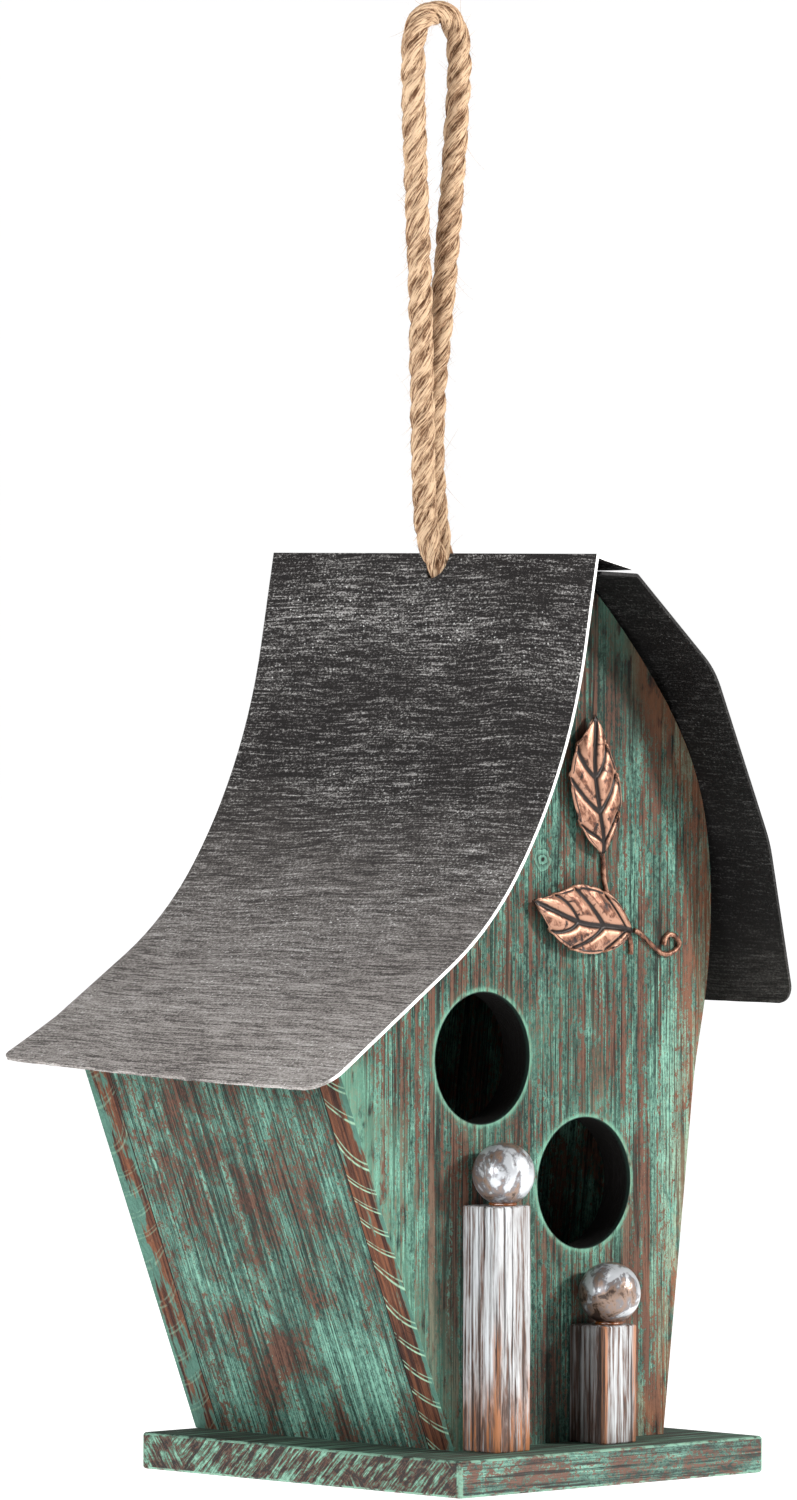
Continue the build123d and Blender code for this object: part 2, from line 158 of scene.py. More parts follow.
def round_edges(piece: bpy.types.Object, radius: float, sharper_than: float = 38.0) -> None:
    """Rounds a board's arrises.

    Args:
        piece: The board.
        radius: How wide each rounding is, in metres.
        sharper_than: The least angle between faces that counts as an arris, in degrees.
    """
    bevel = piece.modifiers.new("arris", "BEVEL")
    bevel.width = radius
    bevel.segments = 3
    bevel.limit_method = "ANGLE"
    bevel.angle_limit = math.radians(sharper_than)
    apply_modifiers(piece)
    bpy.ops.object.shade_smooth_by_angle(angle=math.radians(35))


def fit_out(
    piece: bpy.types.Object,
    body: str,
    material: bpy.types.Material,
    replaced: tuple[str, ...] = (),
) -> bpy.types.Object:
    """Gives a finished piece its material, its body and the CAD nodes that it stands for.

    Args:
        piece: The finished piece.
        body: The CAD body that it rides on.
        material: Its finish.
        replaced: The CAD nodes that it stands for.

    Returns:
        The same piece.
    """
    piece.data.materials.clear()
    piece.data.materials.append(material)
    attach(piece, body)
    if replaced:
        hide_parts(*replaced)
    log.info("%s rides on %s", piece.name, body)
    return piece


def repaint(node: str, material: bpy.types.Material) -> None:
    """Gives a CAD node that stays a better material."""
    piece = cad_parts[node]
    if not piece.material_slots:
        piece.data.materials.append(material)
    for material_slot in piece.material_slots:
        material_slot.material = material
    log.info("%s keeps its CAD shape", node)


# ---------------------------------------------------------------- node trees
class Pattern:
    """One material's node tree, with short ways to add its nodes."""

    def __init__(self, name: str) -> None:
        """Starts a material with one Principled shader."""
        self.material = bpy.data.materials.new(name)
        self.material.use_nodes = True
        self.tree = self.material.node_tree
        self.tree.nodes.clear()
        self.shader = self.add("BsdfPrincipled")
        output = self.add("OutputMaterial")
        self.tree.links.new(self.shader.outputs["BSDF"], output.inputs["Surface"])
        self.place = self.add("TexCoord")

    def add(self, kind: str) -> bpy.types.Node:
        """A new node of one kind."""
        return self.tree.nodes.new("ShaderNode" + kind)

    def put(self, target: Socket, value: object) -> None:
        """Links a socket into an input, or sets the input to a plain value."""
        if isinstance(value, Socket):
            self.tree.links.new(value, target)
        elif isinstance(value, tuple) and target.type == "RGBA":
            target.default_value = (*value, 1.0)
        else:
            target.default_value = value

    def object_place(self) -> Socket:
        """Object coordinates."""
        return self.place.outputs["Object"]

    def mapped(self, source: Socket | None, **settings: Triple) -> Socket:
        """Coordinates through a Mapping node with its Location, Rotation or Scale set."""
        mapping = self.add("Mapping")
        self.put(mapping.inputs["Vector"], source or self.object_place())
        for name, setting in settings.items():
            mapping.inputs[name].default_value = setting
        return mapping.outputs[0]

    def moved(self, offset: Triple) -> Socket:
        """Object coordinates moved by an offset in metres."""
        return self.mapped(None, Location=offset)

    def turned(self, turn: Triple, source: Socket | None = None) -> Socket:
        """Coordinates turned about X, Y and Z, in degrees."""
        return self.mapped(source, Rotation=[math.radians(a) for a in turn])

    def scaled(self, scale: Triple, source: Socket | None = None) -> Socket:
        """Coordinates times so many features a metre along X, Y and Z."""
        return self.mapped(source, Scale=scale)

    def away_from(self, middle: Vector, scale: Triple) -> Socket:
        """How far a point is from a middle, with each axis scaled; a scale of 0 leaves its axis out."""
        start = [-place * size for place, size in zip(middle, scale)]
        length = self.add("VectorMath")
        length.operation = "LENGTH"
        self.put(length.inputs[0], self.mapped(None, Location=start, Scale=scale))
        return length.outputs["Value"]

    def noise(self, where: Socket, detail: float = 2.0, rough: float = 0.5, bent: float = 0.0) -> Socket:
        """Smooth noise about 0.5, one feature per unit."""
        node = self.add("TexNoise")
        self.put(node.inputs["Vector"], where)
        node.inputs["Scale"].default_value = 1.0
        node.inputs["Detail"].default_value = detail
        node.inputs["Roughness"].default_value = rough
        node.inputs["Distortion"].default_value = bent
        return node.outputs[0]

    def cells(self, where: Socket) -> Socket:
        """Distance to the nearest of scattered points, one per unit."""
        node = self.add("TexVoronoi")
        self.put(node.inputs["Vector"], where)
        node.inputs["Scale"].default_value = 1.0
        return node.outputs["Distance"]

    def sum(self, *terms: tuple[Socket, float], plus: float = 0.0) -> Socket:
        """Each value times its weight, all added, plus a number."""
        total: Socket | float = plus
        for value, weight in terms:
            node = self.add("Math")
            node.operation = "MULTIPLY_ADD"
            self.put(node.inputs[0], value)
            node.inputs[1].default_value = weight
            self.put(node.inputs[2], total)
            total = node.outputs[0]
        return total

    def math(self, operation: str, first: object, second: object = 0.0) -> Socket:
        """One arithmetic step."""
        node = self.add("Math")
        node.operation = operation
        self.put(node.inputs[0], first)
        if len(node.inputs) > 1 and operation not in ("ABSOLUTE", "FRACT"):
            self.put(node.inputs[1], second)
        return node.outputs[0]

    def step(self, value: Socket, low: float, high: float) -> Socket:
        """0 below low, 1 above high and smooth between; low may be the larger."""
        node = self.add("MapRange")
        node.interpolation_type = "SMOOTHSTEP"
        self.put(node.inputs["Value"], value)
        node.inputs["From Min"].default_value = min(low, high)
        node.inputs["From Max"].default_value = max(low, high)
        node.inputs["To Min"].default_value = float(low > high)
        node.inputs["To Max"].default_value = float(low <= high)
        return node.outputs[0]

    def times(self, *masks: object) -> Socket:
        """The product of masks."""
        total = masks[0]
        for mask in masks[1:]:
            total = self.math("MULTIPLY", total, mask)
        return total

    def mix(self, mask: object, under: object, over: object) -> Socket:
        """One colour over another where the mask is 1."""
        node = self.add("Mix")
        node.data_type = "RGBA"
        self.put(node.inputs[0], mask)
        self.put(node.inputs[6], under)
        self.put(node.inputs[7], over)
        return node.outputs[2]

    def ramp(self, value: Socket, *stops: tuple[float, Colour]) -> Socket:
        """Colours along a value."""
        node = self.add("ValToRGB")
        self.put(node.inputs[0], value)
        ends = node.color_ramp.elements
        for index, (place, colour) in enumerate(stops):
            element = ends[index] if index < 2 else ends.new(place)
            element.position = place
            element.color = (*colour, 1.0)
        return node.outputs[0]

    def coordinate(self, axis: str, source: Socket | None = None) -> Socket:
        """One of Object coordinates' numbers, in metres."""
        node = self.add("SeparateXYZ")
        self.put(node.inputs[0], source or self.object_place())
        return node.outputs[axis]

    def facing(self, axis: str) -> Socket:
        """How much the surface looks along an axis, either way."""
        return self.math("ABSOLUTE", self.coordinate(axis, self.place.outputs["Normal"]))

    def attribute(self, name: str) -> Socket:
        """A number stored on the mesh."""
        node = self.add("Attribute")
        node.attribute_name = name
        return node.outputs["Fac"]

    def finish(
        self,
        colour: Socket,
        roughness: object,
        height: Socket | None = None,
        depth: float = 0.0003,
        metal: object = 0.0,
        strength: float = 1.0,
    ) -> bpy.types.Material:
        """Joins everything to the shader.

        Args:
            colour: The base colour.
            roughness: A number or a socket.
            height: What stands up, 0 to 1.
            depth: How far height 1 stands over height 0, in metres.
            metal: A number or a socket.
            strength: The bump's strength.

        Returns:
            The finished material.
        """
        self.put(self.shader.inputs["Base Color"], colour)
        self.put(self.shader.inputs["Roughness"], roughness)
        self.put(self.shader.inputs["Metallic"], metal)
        if height is not None:
            bump = self.add("Bump")
            bump.inputs["Strength"].default_value = strength
            bump.inputs["Distance"].default_value = depth
            self.put(bump.inputs["Height"], height)
            self.put(self.shader.inputs["Normal"], bump.outputs[0])
        return self.material


class Grain(Enum):
    """Which way a board's grain runs, as the turn that brings it upright."""

    UPRIGHT = (0.0, 0.0, 0.0)
    LEANING_LEFT = (0.0, 22.5, 0.0)
    LEANING_RIGHT = (0.0, -6.8, 0.0)
    ACROSS = (0.0, 90.0, 0.0)


# ---------------------------------------------------------------- finishes
@dataclass(frozen=True)
class DistressedPaint:
    """Green milk paint rubbed back to a red-brown stain along the grain.

    Attributes:
        grain: Which way the grain runs.
        bare: How much stain shows, about -0.1 for little to 0.1 for much.
        blotch: How strongly large patches are rubbed bare.
        streaks: How strongly the paint follows the grain lines.
        flecks: How broken up the paint's edges are.
        crack: How dark the grain lines are, 0 to 1.
        light, middle, dark: The paint where it is thick, thinner and in hollows; light also paints the
            highlight beside the grain rings.
        stain, stain_dark: The stained wood and its grain.
        soot_and_shade: Dirt in the cracks, and also the colour of the painted shade on the panels.
    """

    grain: Grain = Grain.UPRIGHT
    bare: float = 0.0
    blotch: float = 1.0
    streaks: float = 0.55
    flecks: float = 1.25
    crack: float = 0.8
    light: Colour = tint(120, 168, 149)
    middle: Colour = tint(76, 114, 101)
    dark: Colour = tint(28, 47, 41)
    stain: Colour = tint(99, 69, 56)
    stain_dark: Colour = tint(44, 28, 22)
    soot_and_shade: Colour = tint(22, 18, 15)

    def layers(
        self, pattern: Pattern, rubbed: list[tuple[Socket, float]], bright: list[tuple[Socket, float]]
    ) -> tuple[Socket, Socket]:
        """Lays stain, paint and grain lines.

        Args:
            pattern: The material that they go into.
            rubbed: Terms that rub the paint away.
            bright: Terms that lighten the paint.

        Returns:
            The colour and the height.
        """
        wood = pattern.turned(self.grain.value)
        fine = pattern.noise(pattern.scaled((2000, 2000, 55), wood), 2, 0.6)
        lines = pattern.noise(pattern.scaled((640, 640, 9), wood), 3, 0.62, 0.3)
        bands = pattern.noise(pattern.scaled((170, 170, 5), wood), 2, 0.5, 0.25)
        patches = pattern.noise(pattern.scaled((70, 70, 48), wood), 5, 0.66, 0.6)
        flakes = pattern.noise(pattern.scaled((900, 900, 560), wood), 4, 0.82, 0.4)
        worn = pattern.sum(
            (patches, self.blotch),
            (lines, self.streaks),
            (bands, 0.25),
            (flakes, self.flecks),
            *rubbed,
            plus=-0.5 * (self.blotch + self.streaks + 0.25 + self.flecks) + self.bare,
        )
        bare = pattern.step(worn, 0.015, 0.065)
        tone = pattern.sum(
            (lines, 1.5), (fine, 1.5), (bands, 0.8), (flakes, 2.3), (patches, -0.5), *bright, plus=-2.32
        )
        paint = pattern.ramp(tone, (0.10, self.dark), (0.48, self.middle), (0.86, self.light))
        wood_tone = pattern.sum((lines, 1.4), (fine, 1.4), (flakes, 1.6), plus=-1.7)
        stain = pattern.ramp(wood_tone, (0.25, self.stain_dark), (0.72, self.stain))
        colour = pattern.mix(bare, paint, stain)
        year = pattern.noise(pattern.scaled((230, 230, 3), wood), 1, 0.5, 0.2)
        broken = pattern.noise(pattern.scaled((90, 90, 22), wood), 3, 0.6)
        near = pattern.math("ABSOLUTE", pattern.sum((year, 1.0), (fine, 0.04), plus=-0.52))
        ring = pattern.times(pattern.step(near, 0.020, 0.004), pattern.step(broken, 0.42, 0.54))
        # Painted highlight, partly pale paint: a light line beside each grain ring, where the raised grain
        # catches the light.
        beside = pattern.math("ABSOLUTE", pattern.sum((year, 1.0), plus=-0.535))
        painted_gleam = pattern.times(pattern.step(beside, 0.016, 0.004), pattern.step(broken, 0.48, 0.58), 0.45)
        colour = pattern.mix(pattern.times(painted_gleam, pattern.math("SUBTRACT", 1.0, bare)), colour, self.light)
        cut = pattern.step(pattern.noise(pattern.scaled((1000, 1000, 26), wood), 2, 0.5), 0.41, 0.33)
        crack = pattern.math("MAXIMUM", pattern.times(cut, self.crack), pattern.times(ring, self.crack))
        colour = pattern.mix(crack, colour, self.soot_and_shade)
        height = pattern.sum((lines, 0.7), (fine, 0.5), (flakes, 0.5), (bare, -0.25), (crack, -0.7))
        return colour, height


@dataclass(frozen=True)
class Spot:
    """A soft round patch on a board.

    Attributes:
        x, y, height: Its middle, in millimetres.
        reach: Its half sizes along X, Y and Z, in millimetres.
        amount: What it adds.
    """

    x: float
    y: float
    height: float
    reach: Triple
    amount: float

    def add_to(self, pattern: Pattern) -> tuple[Socket, float]:
        """The patch as a term of a sum."""
        away = pattern.away_from(at(self.x, self.y, self.height), [1 / (r * MM) for r in self.reach])
        return pattern.step(away, 1.0, 0.25), self.amount


@dataclass(frozen=True)
class PanelPaint:
    """Distressed paint on a front or back panel, with its worn rims and bare sawn edges.

    Attributes:
        paint: The paint of its faces.
        inside_from: Which side of inside_at is indoors, 1 for higher Y and -1 for lower Y.
        inside_at: Y beyond which the board is indoors, in millimetres.
        outside_at: Y of its outside face, in millimetres.
        holes: Entry holes as (x, height), in millimetres.
        hole_radius: Their radius in millimetres.
        knot: A small knot in the wood as (x, height), in millimetres.
        marks: How much of the saw marks shows on the sawn edge, 0 to 1.
        green: How much more paint is left on the sawn edge.
        rubbed: Patches that are rubbed bare.
        bright: Patches made lighter, or darker where the amount is below 0; they carry painted light and
            shade as well as paler paint.
        painted_shade_spots: Patches of painted shade, darkened towards near black.
        aqua, peach: The worn rims on the left and on the right.
        sawn, sawn_dark: The sawn edge's wood and its grain.
        arc: The saw marks.
        indoor_shade: Near black, painted as the shade on the wood indoors and deep in the entry holes.
    """

    paint: DistressedPaint
    inside_from: int
    inside_at: float
    outside_at: float
    holes: tuple[tuple[float, float], ...] = ()
    hole_radius: float = 19.0
    knot: tuple[float, float] | None = None
    marks: float = 1.0
    green: float = 0.0
    rubbed: tuple[Spot, ...] = ()
    bright: tuple[Spot, ...] = ()
    painted_shade_spots: tuple[Spot, ...] = ()
    aqua: Colour = tint(118, 172, 147)
    peach: Colour = tint(190, 128, 88)
    sawn: Colour = tint(116, 72, 50)
    sawn_dark: Colour = tint(52, 30, 24)
    arc: Colour = tint(150, 186, 158)
    indoor_shade: Colour = tint(9, 6, 5)

    def from_line(self, pattern: Pattern, x: float, height: float) -> Socket:
        """How far a point is from a line along Y."""
        return pattern.away_from(at(x, 0, height), (1, 0, 1))

    def depth(self, pattern: Pattern) -> Socket:
        """How far a point is behind or before the outside face."""
        behind = pattern.sum((pattern.coordinate("Y"), 1.0), plus=-self.outside_at * MM)
        return pattern.math("ABSOLUTE", behind)

    def knotted(self, pattern: Pattern, colour: Socket) -> Socket:
        """Lays a small knot's rings over the paint."""
        wobble = pattern.noise(pattern.scaled((380, 380, 380)), 2, 0.5)
        away = pattern.sum((self.from_line(pattern, *self.knot), 1.0), (wobble, 0.0034), plus=-0.0017)
        near = pattern.step(away, 0.0042, 0.0030)
        turn = pattern.math("FRACT", pattern.times(away, 620.0))
        rings = pattern.ramp(turn, (0.1, self.paint.soot_and_shade), (0.35, self.paint.middle), (0.8, self.paint.light))
        colour = pattern.mix(pattern.times(near, 0.5), colour, rings)
        return pattern.mix(pattern.step(away, 0.0009, 0.0005), colour, self.paint.soot_and_shade)

    def sawn_edge(self, pattern: Pattern) -> Socket:
        """The brown edge of the board with its slanting pale saw marks."""
        depth = self.depth(pattern)
        squared = pattern.times(depth, depth)
        uneven = pattern.noise(pattern.scaled((0, 0, 26)), 1, 0.5)
        rise = pattern.sum(
            (pattern.coordinate("Z"), 118.0), (depth, -14.0), (squared, -4600.0), (uneven, 3.4)
        )
        turn = pattern.math("FRACT", rise)
        broken = pattern.step(pattern.noise(pattern.scaled((300, 300, 300)), 3, 0.6), 0.32, 0.5)
        first = pattern.times(pattern.step(turn, 0.30, 0.35), pattern.step(turn, 0.42, 0.37))
        second = pattern.times(pattern.step(turn, 0.50, 0.53), pattern.step(turn, 0.58, 0.55), 0.7)
        line = pattern.times(pattern.math("MAXIMUM", first, second), broken, self.marks)
        wood = pattern.turned(Grain.LEANING_LEFT.value)
        streak = pattern.noise(pattern.scaled((500, 700, 22), wood), 3, 0.6)
        base = pattern.ramp(streak, (0.38, self.sawn_dark), (0.62, self.sawn))
        green = pattern.sum(
            (pattern.noise(pattern.scaled((90, 160, 50)), 4, 0.65), 1.0),
            (streak, 0.5),
            (pattern.step(depth, 0.0045, 0.0), 0.22),
            plus=self.green,
        )
        base = pattern.mix(pattern.step(green, 0.86, 0.95), base, self.paint.middle)
        return pattern.mix(line, base, self.arc)

    def rims(self, pattern: Pattern, colour: Socket, nibble: Socket) -> Socket:
        """Lays the paint's nibbled rim, green on the left and bare on the right."""
        face = pattern.facing("Y")
        rim = pattern.times(pattern.step(face, 0.10, 0.3), pattern.step(face, 0.999, 0.97))
        rim = pattern.times(rim, pattern.step(nibble, 0.36, 0.5))
        right = pattern.step(pattern.coordinate("X"), 0.030, 0.040)
        return pattern.mix(rim, colour, pattern.mix(right, self.aqua, self.peach))

    def entry_holes(self, pattern: Pattern, colour: Socket, nibble: Socket) -> Socket:
        """Lays a pale ring round each entry hole and paints shade into its bore."""
        radius = self.hole_radius * MM
        for x, height in self.holes:
            length = self.from_line(pattern, x, height)
            away = pattern.sum((length, 1.0), (nibble, 0.003), plus=-0.0015)
            ring = pattern.times(
                pattern.step(away, radius + 0.0018, radius + 0.0006), pattern.step(nibble, 0.34, 0.50)
            )
            colour = pattern.mix(pattern.times(ring, 0.6), colour, self.aqua)
            # Painted shade in the bore: dark paint near the outside face, near black deeper in.
            bore = pattern.step(length, radius + 0.00035, radius + 0.0001)
            inward = pattern.step(self.depth(pattern), 0.0006, 0.0018)
            colour = pattern.mix(bore, colour, pattern.mix(inward, self.paint.dark, self.indoor_shade))
        return colour

    def shade_indoors(self, pattern: Pattern, colour: Socket) -> Socket:
        """Paints shade, near black, over the wood inside the house."""
        past = pattern.sum(
            (pattern.coordinate("Y"), float(self.inside_from)), plus=-self.inside_from * self.inside_at * MM
        )
        return pattern.mix(pattern.step(past, -0.0002, 0.0001), colour, self.indoor_shade)

    def material(self, name: str) -> bpy.types.Material:
        """The whole finish of a panel."""
        pattern = Pattern(name)
        rubbed = [spot.add_to(pattern) for spot in self.rubbed]
        bright = [spot.add_to(pattern) for spot in self.bright]
        colour, height = self.paint.layers(pattern, rubbed, bright)
        # Painted shade: each spot darkens the paint towards near black where shade falls.
        for spot in self.painted_shade_spots:
            share, amount = spot.add_to(pattern)
            colour = pattern.mix(pattern.times(share, amount), colour, self.paint.soot_and_shade)
        if self.knot:
            colour = self.knotted(pattern, colour)
        side = pattern.step(pattern.facing("Y"), 0.55, 0.25)
        colour = pattern.mix(side, colour, self.sawn_edge(pattern))
        nibble = pattern.noise(pattern.scaled((260, 260, 90)), 4, 0.65)
        colour = self.rims(pattern, colour, nibble)
        colour = self.entry_holes(pattern, colour, nibble)
        colour = self.shade_indoors(pattern, colour)
        pattern.shader.inputs["Specular IOR Level"].default_value = 0.22
        return pattern.finish(colour, 0.74, height, 0.00042)


@dataclass(frozen=True)
class WallPaint:
    """Distressed paint on a side wall.

    Attributes:
        paint: The paint.
        rubbed: Patches that are rubbed bare.
        bright: Patches where the paint is lighter.
    """

    paint: DistressedPaint
    rubbed: tuple[Spot, ...] = ()
    bright: tuple[Spot, ...] = ()

    def material(self, name: str) -> bpy.types.Material:
        """The whole finish of a wall."""
        pattern = Pattern(name)
        rubbed = [spot.add_to(pattern) for spot in self.rubbed]
        bright = [spot.add_to(pattern) for spot in self.bright]
        colour, height = self.paint.layers(pattern, rubbed, bright)
        pattern.shader.inputs["Specular IOR Level"].default_value = 0.25
        return pattern.finish(colour, 0.74, height, 0.00042)


@dataclass(frozen=True)
class EndGrain:
    """The base board's paint: grain along X, mottled end grain and rubbed arrises.

    Attributes:
        paint: The paint of its faces.
        aqua, char, rust, moss, under: The colours of the worn rims, the end grain and the top.
    """

    paint: DistressedPaint
    aqua: Colour = tint(124, 168, 146)
    char: Colour = tint(34, 29, 25)
    rust: Colour = tint(88, 56, 44)
    moss: Colour = tint(66, 98, 82)
    under: Colour = tint(40, 46, 36)

    def material(self, name: str) -> bpy.types.Material:
        """The whole finish of the base board."""
        pattern = Pattern(name)
        colour, height = self.paint.layers(pattern, [], [])
        normal = pattern.place.outputs["Normal"]
        slanting = pattern.turned((38, 0, 0))
        rings = pattern.noise(pattern.scaled((10, 1100, 150), slanting), 3, 0.65, 0.5)
        other = pattern.noise(pattern.scaled((10, 1100, 130), pattern.turned((-46, 0, 0))), 3, 0.65, 0.4)
        mottle = pattern.noise(pattern.scaled((10, 150, 260)), 5, 0.75, 0.8)
        which = pattern.step(pattern.noise(pattern.scaled((10, 26, 26)), 1, 0.5), 0.47, 0.53)
        marks = pattern.mix(which, rings, other)
        tone = pattern.sum((marks, 1.7), (mottle, 1.1), plus=-0.92)
        grain = pattern.ramp(tone, (0.34, self.char), (0.47, self.rust), (0.56, self.moss), (0.78, self.aqua))
        end = pattern.step(pattern.facing("X"), 0.72, 0.9)
        colour = pattern.mix(end, colour, grain)
        top = pattern.step(pattern.coordinate("Z", normal), 0.8, 0.97)
        smear = pattern.noise(pattern.scaled((26, 420, 420)), 4, 0.62, 0.4)
        deck = pattern.ramp(smear, (0.34, self.char), (0.46, self.under), (0.56, self.moss), (0.7, self.aqua))
        colour = pattern.mix(pattern.times(top, 0.85), colour, deck)
        rims = pattern.math(
            "MAXIMUM",
            pattern.math("MAXIMUM", pattern.facing("X"), pattern.facing("Y")),
            pattern.facing("Z"),
        )
        nibble = pattern.noise(pattern.scaled((230, 230, 230)), 4, 0.65)
        rim = pattern.times(pattern.step(rims, 0.985, 0.92), pattern.step(nibble, 0.40, 0.54))
        colour = pattern.mix(pattern.times(rim, 0.8), colour, self.aqua)
        relief = pattern.sum((height, 0.6), (tone, 0.5))
        return pattern.finish(colour, 0.74, relief, 0.0004)


@dataclass(frozen=True)
class Whitewash:
    """White wash over dark grooved wood, worn through to orange in places.

    Attributes:
        foot: Height under which the wash is worn, in millimetres.
        left_face_shade: How much painted shade darkens the face that looks left.
        worn_edges: Upright arrises that are worn through, as (x, y), in millimetres.
        worn_to: Height to which they are worn, in millimetres.
        shade_on_wash: How much darker its wash is painted, as shade, 0 to 0.2.
        seed: Offset that makes posts differ, in metres.
        white, grey, groove, brown, orange: The wash, thick and thin, and the wood where it is worn; groove
            also paints the shade on the face that looks left.
    """

    foot: float
    left_face_shade: float
    worn_edges: tuple[tuple[float, float], ...]
    worn_to: float
    shade_on_wash: float
    seed: float
    white: Colour = tint(194, 197, 200)
    grey: Colour = tint(134, 130, 129)
    groove: Colour = tint(44, 32, 28)
    brown: Colour = tint(98, 68, 54)
    orange: Colour = tint(160, 102, 62)

    def material(self, name: str) -> bpy.types.Material:
        """The finish of one post."""
        pattern = Pattern(name)
        rise = pattern.coordinate("Z")
        wood = pattern.moved((self.seed, self.seed * 2, self.seed))
        fine = pattern.noise(pattern.scaled((1500, 1500, 45), wood), 3, 0.65)
        lines = pattern.noise(pattern.scaled((680, 680, 13), wood), 3, 0.6, 0.25)
        smear = pattern.noise(pattern.scaled((260, 260, 40), wood), 5, 0.7, 0.6)
        # Painted shade: the whole wash is made darker by this amount.
        tone = pattern.sum((fine, 1.3), (lines, 1.3), (smear, 1.1), plus=-1.33 - self.shade_on_wash)
        colour = pattern.ramp(
            tone, (0.14, self.groove), (0.28, self.brown), (0.38, self.grey), (0.74, self.white)
        )
        over_foot = pattern.sum((rise, 1.0), (smear, 0.05), plus=-self.foot * MM - BASE_UNDERSIDE - 0.025)
        foot = pattern.step(over_foot, 0.012, -0.010)
        rust = pattern.ramp(tone, (0.25, self.groove), (0.45, self.brown), (0.62, self.orange))
        colour = pattern.mix(pattern.times(foot, pattern.step(fine, 0.40, 0.50)), colour, rust)
        low = pattern.step(rise, at(0, 0, self.worn_to).z, at(0, 0, self.worn_to - 12).z)
        for x, y in self.worn_edges:
            away = pattern.sum((pattern.away_from(at(x, y, 0), (1, 1, 0)), 1.0), (smear, -0.004), plus=0.002)
            edge = pattern.times(pattern.step(away, 0.0020, 0.0010), low, pattern.step(fine, 0.36, 0.48), 0.9)
            colour = pattern.mix(edge, colour, self.orange)
        # Painted shade: the face that looks left is darkened towards the groove colour.
        left = pattern.step(pattern.coordinate("X", pattern.place.outputs["Normal"]), -0.4, -0.8)
        colour = pattern.mix(pattern.times(left, self.left_face_shade), colour, self.groove)
        slot = pattern.step(pattern.noise(pattern.scaled((900, 900, 11), wood), 2, 0.55, 0.3), 0.44, 0.37)
        colour = pattern.mix(pattern.times(slot, 0.85), colour, self.groove)
        height = pattern.sum((lines, 1.0), (fine, 0.45), (slot, -0.8))
        return pattern.finish(colour, 0.66, height, 0.0006)


@dataclass(frozen=True)
class PearlSmear:
    """Pearly white and silver smears over metallic tan, on the balls.

    Attributes:
        seed: Offset that makes the balls differ, in metres.
        pearl, silver, tan, brown: The smears and the paint under them.
    """

    seed: float
    pearl: Colour = tint(190, 193, 197)
    silver: Colour = tint(112, 110, 113)
    tan: Colour = tint(138, 114, 99)
    brown: Colour = tint(60, 45, 38)

    def material(self, name: str) -> bpy.types.Material:
        """The finish of one ball."""
        pattern = Pattern(name)
        moved = pattern.moved((self.seed, -self.seed, self.seed))
        swirl = pattern.noise(pattern.scaled((78, 78, 78), moved), 4, 0.5, 1.2)
        dabs = pattern.noise(pattern.scaled((260, 260, 150), moved), 3, 0.6, 1.0)
        speck = pattern.noise(pattern.scaled((900, 900, 900), moved), 2, 0.6)
        tone = pattern.sum((swirl, 1.5), (dabs, 0.7), (speck, 0.25), plus=-0.72)
        colour = pattern.ramp(
            tone, (0.32, self.brown), (0.42, self.tan), (0.55, self.silver), (0.66, self.pearl)
        )
        pattern.shader.inputs["Coat Weight"].default_value = 0.2
        pattern.shader.inputs["Coat Roughness"].default_value = 0.25
        height = pattern.sum((dabs, 1.0), (speck, 0.4))
        return pattern.finish(colour, 0.36, height, 0.00022, metal=0.45)


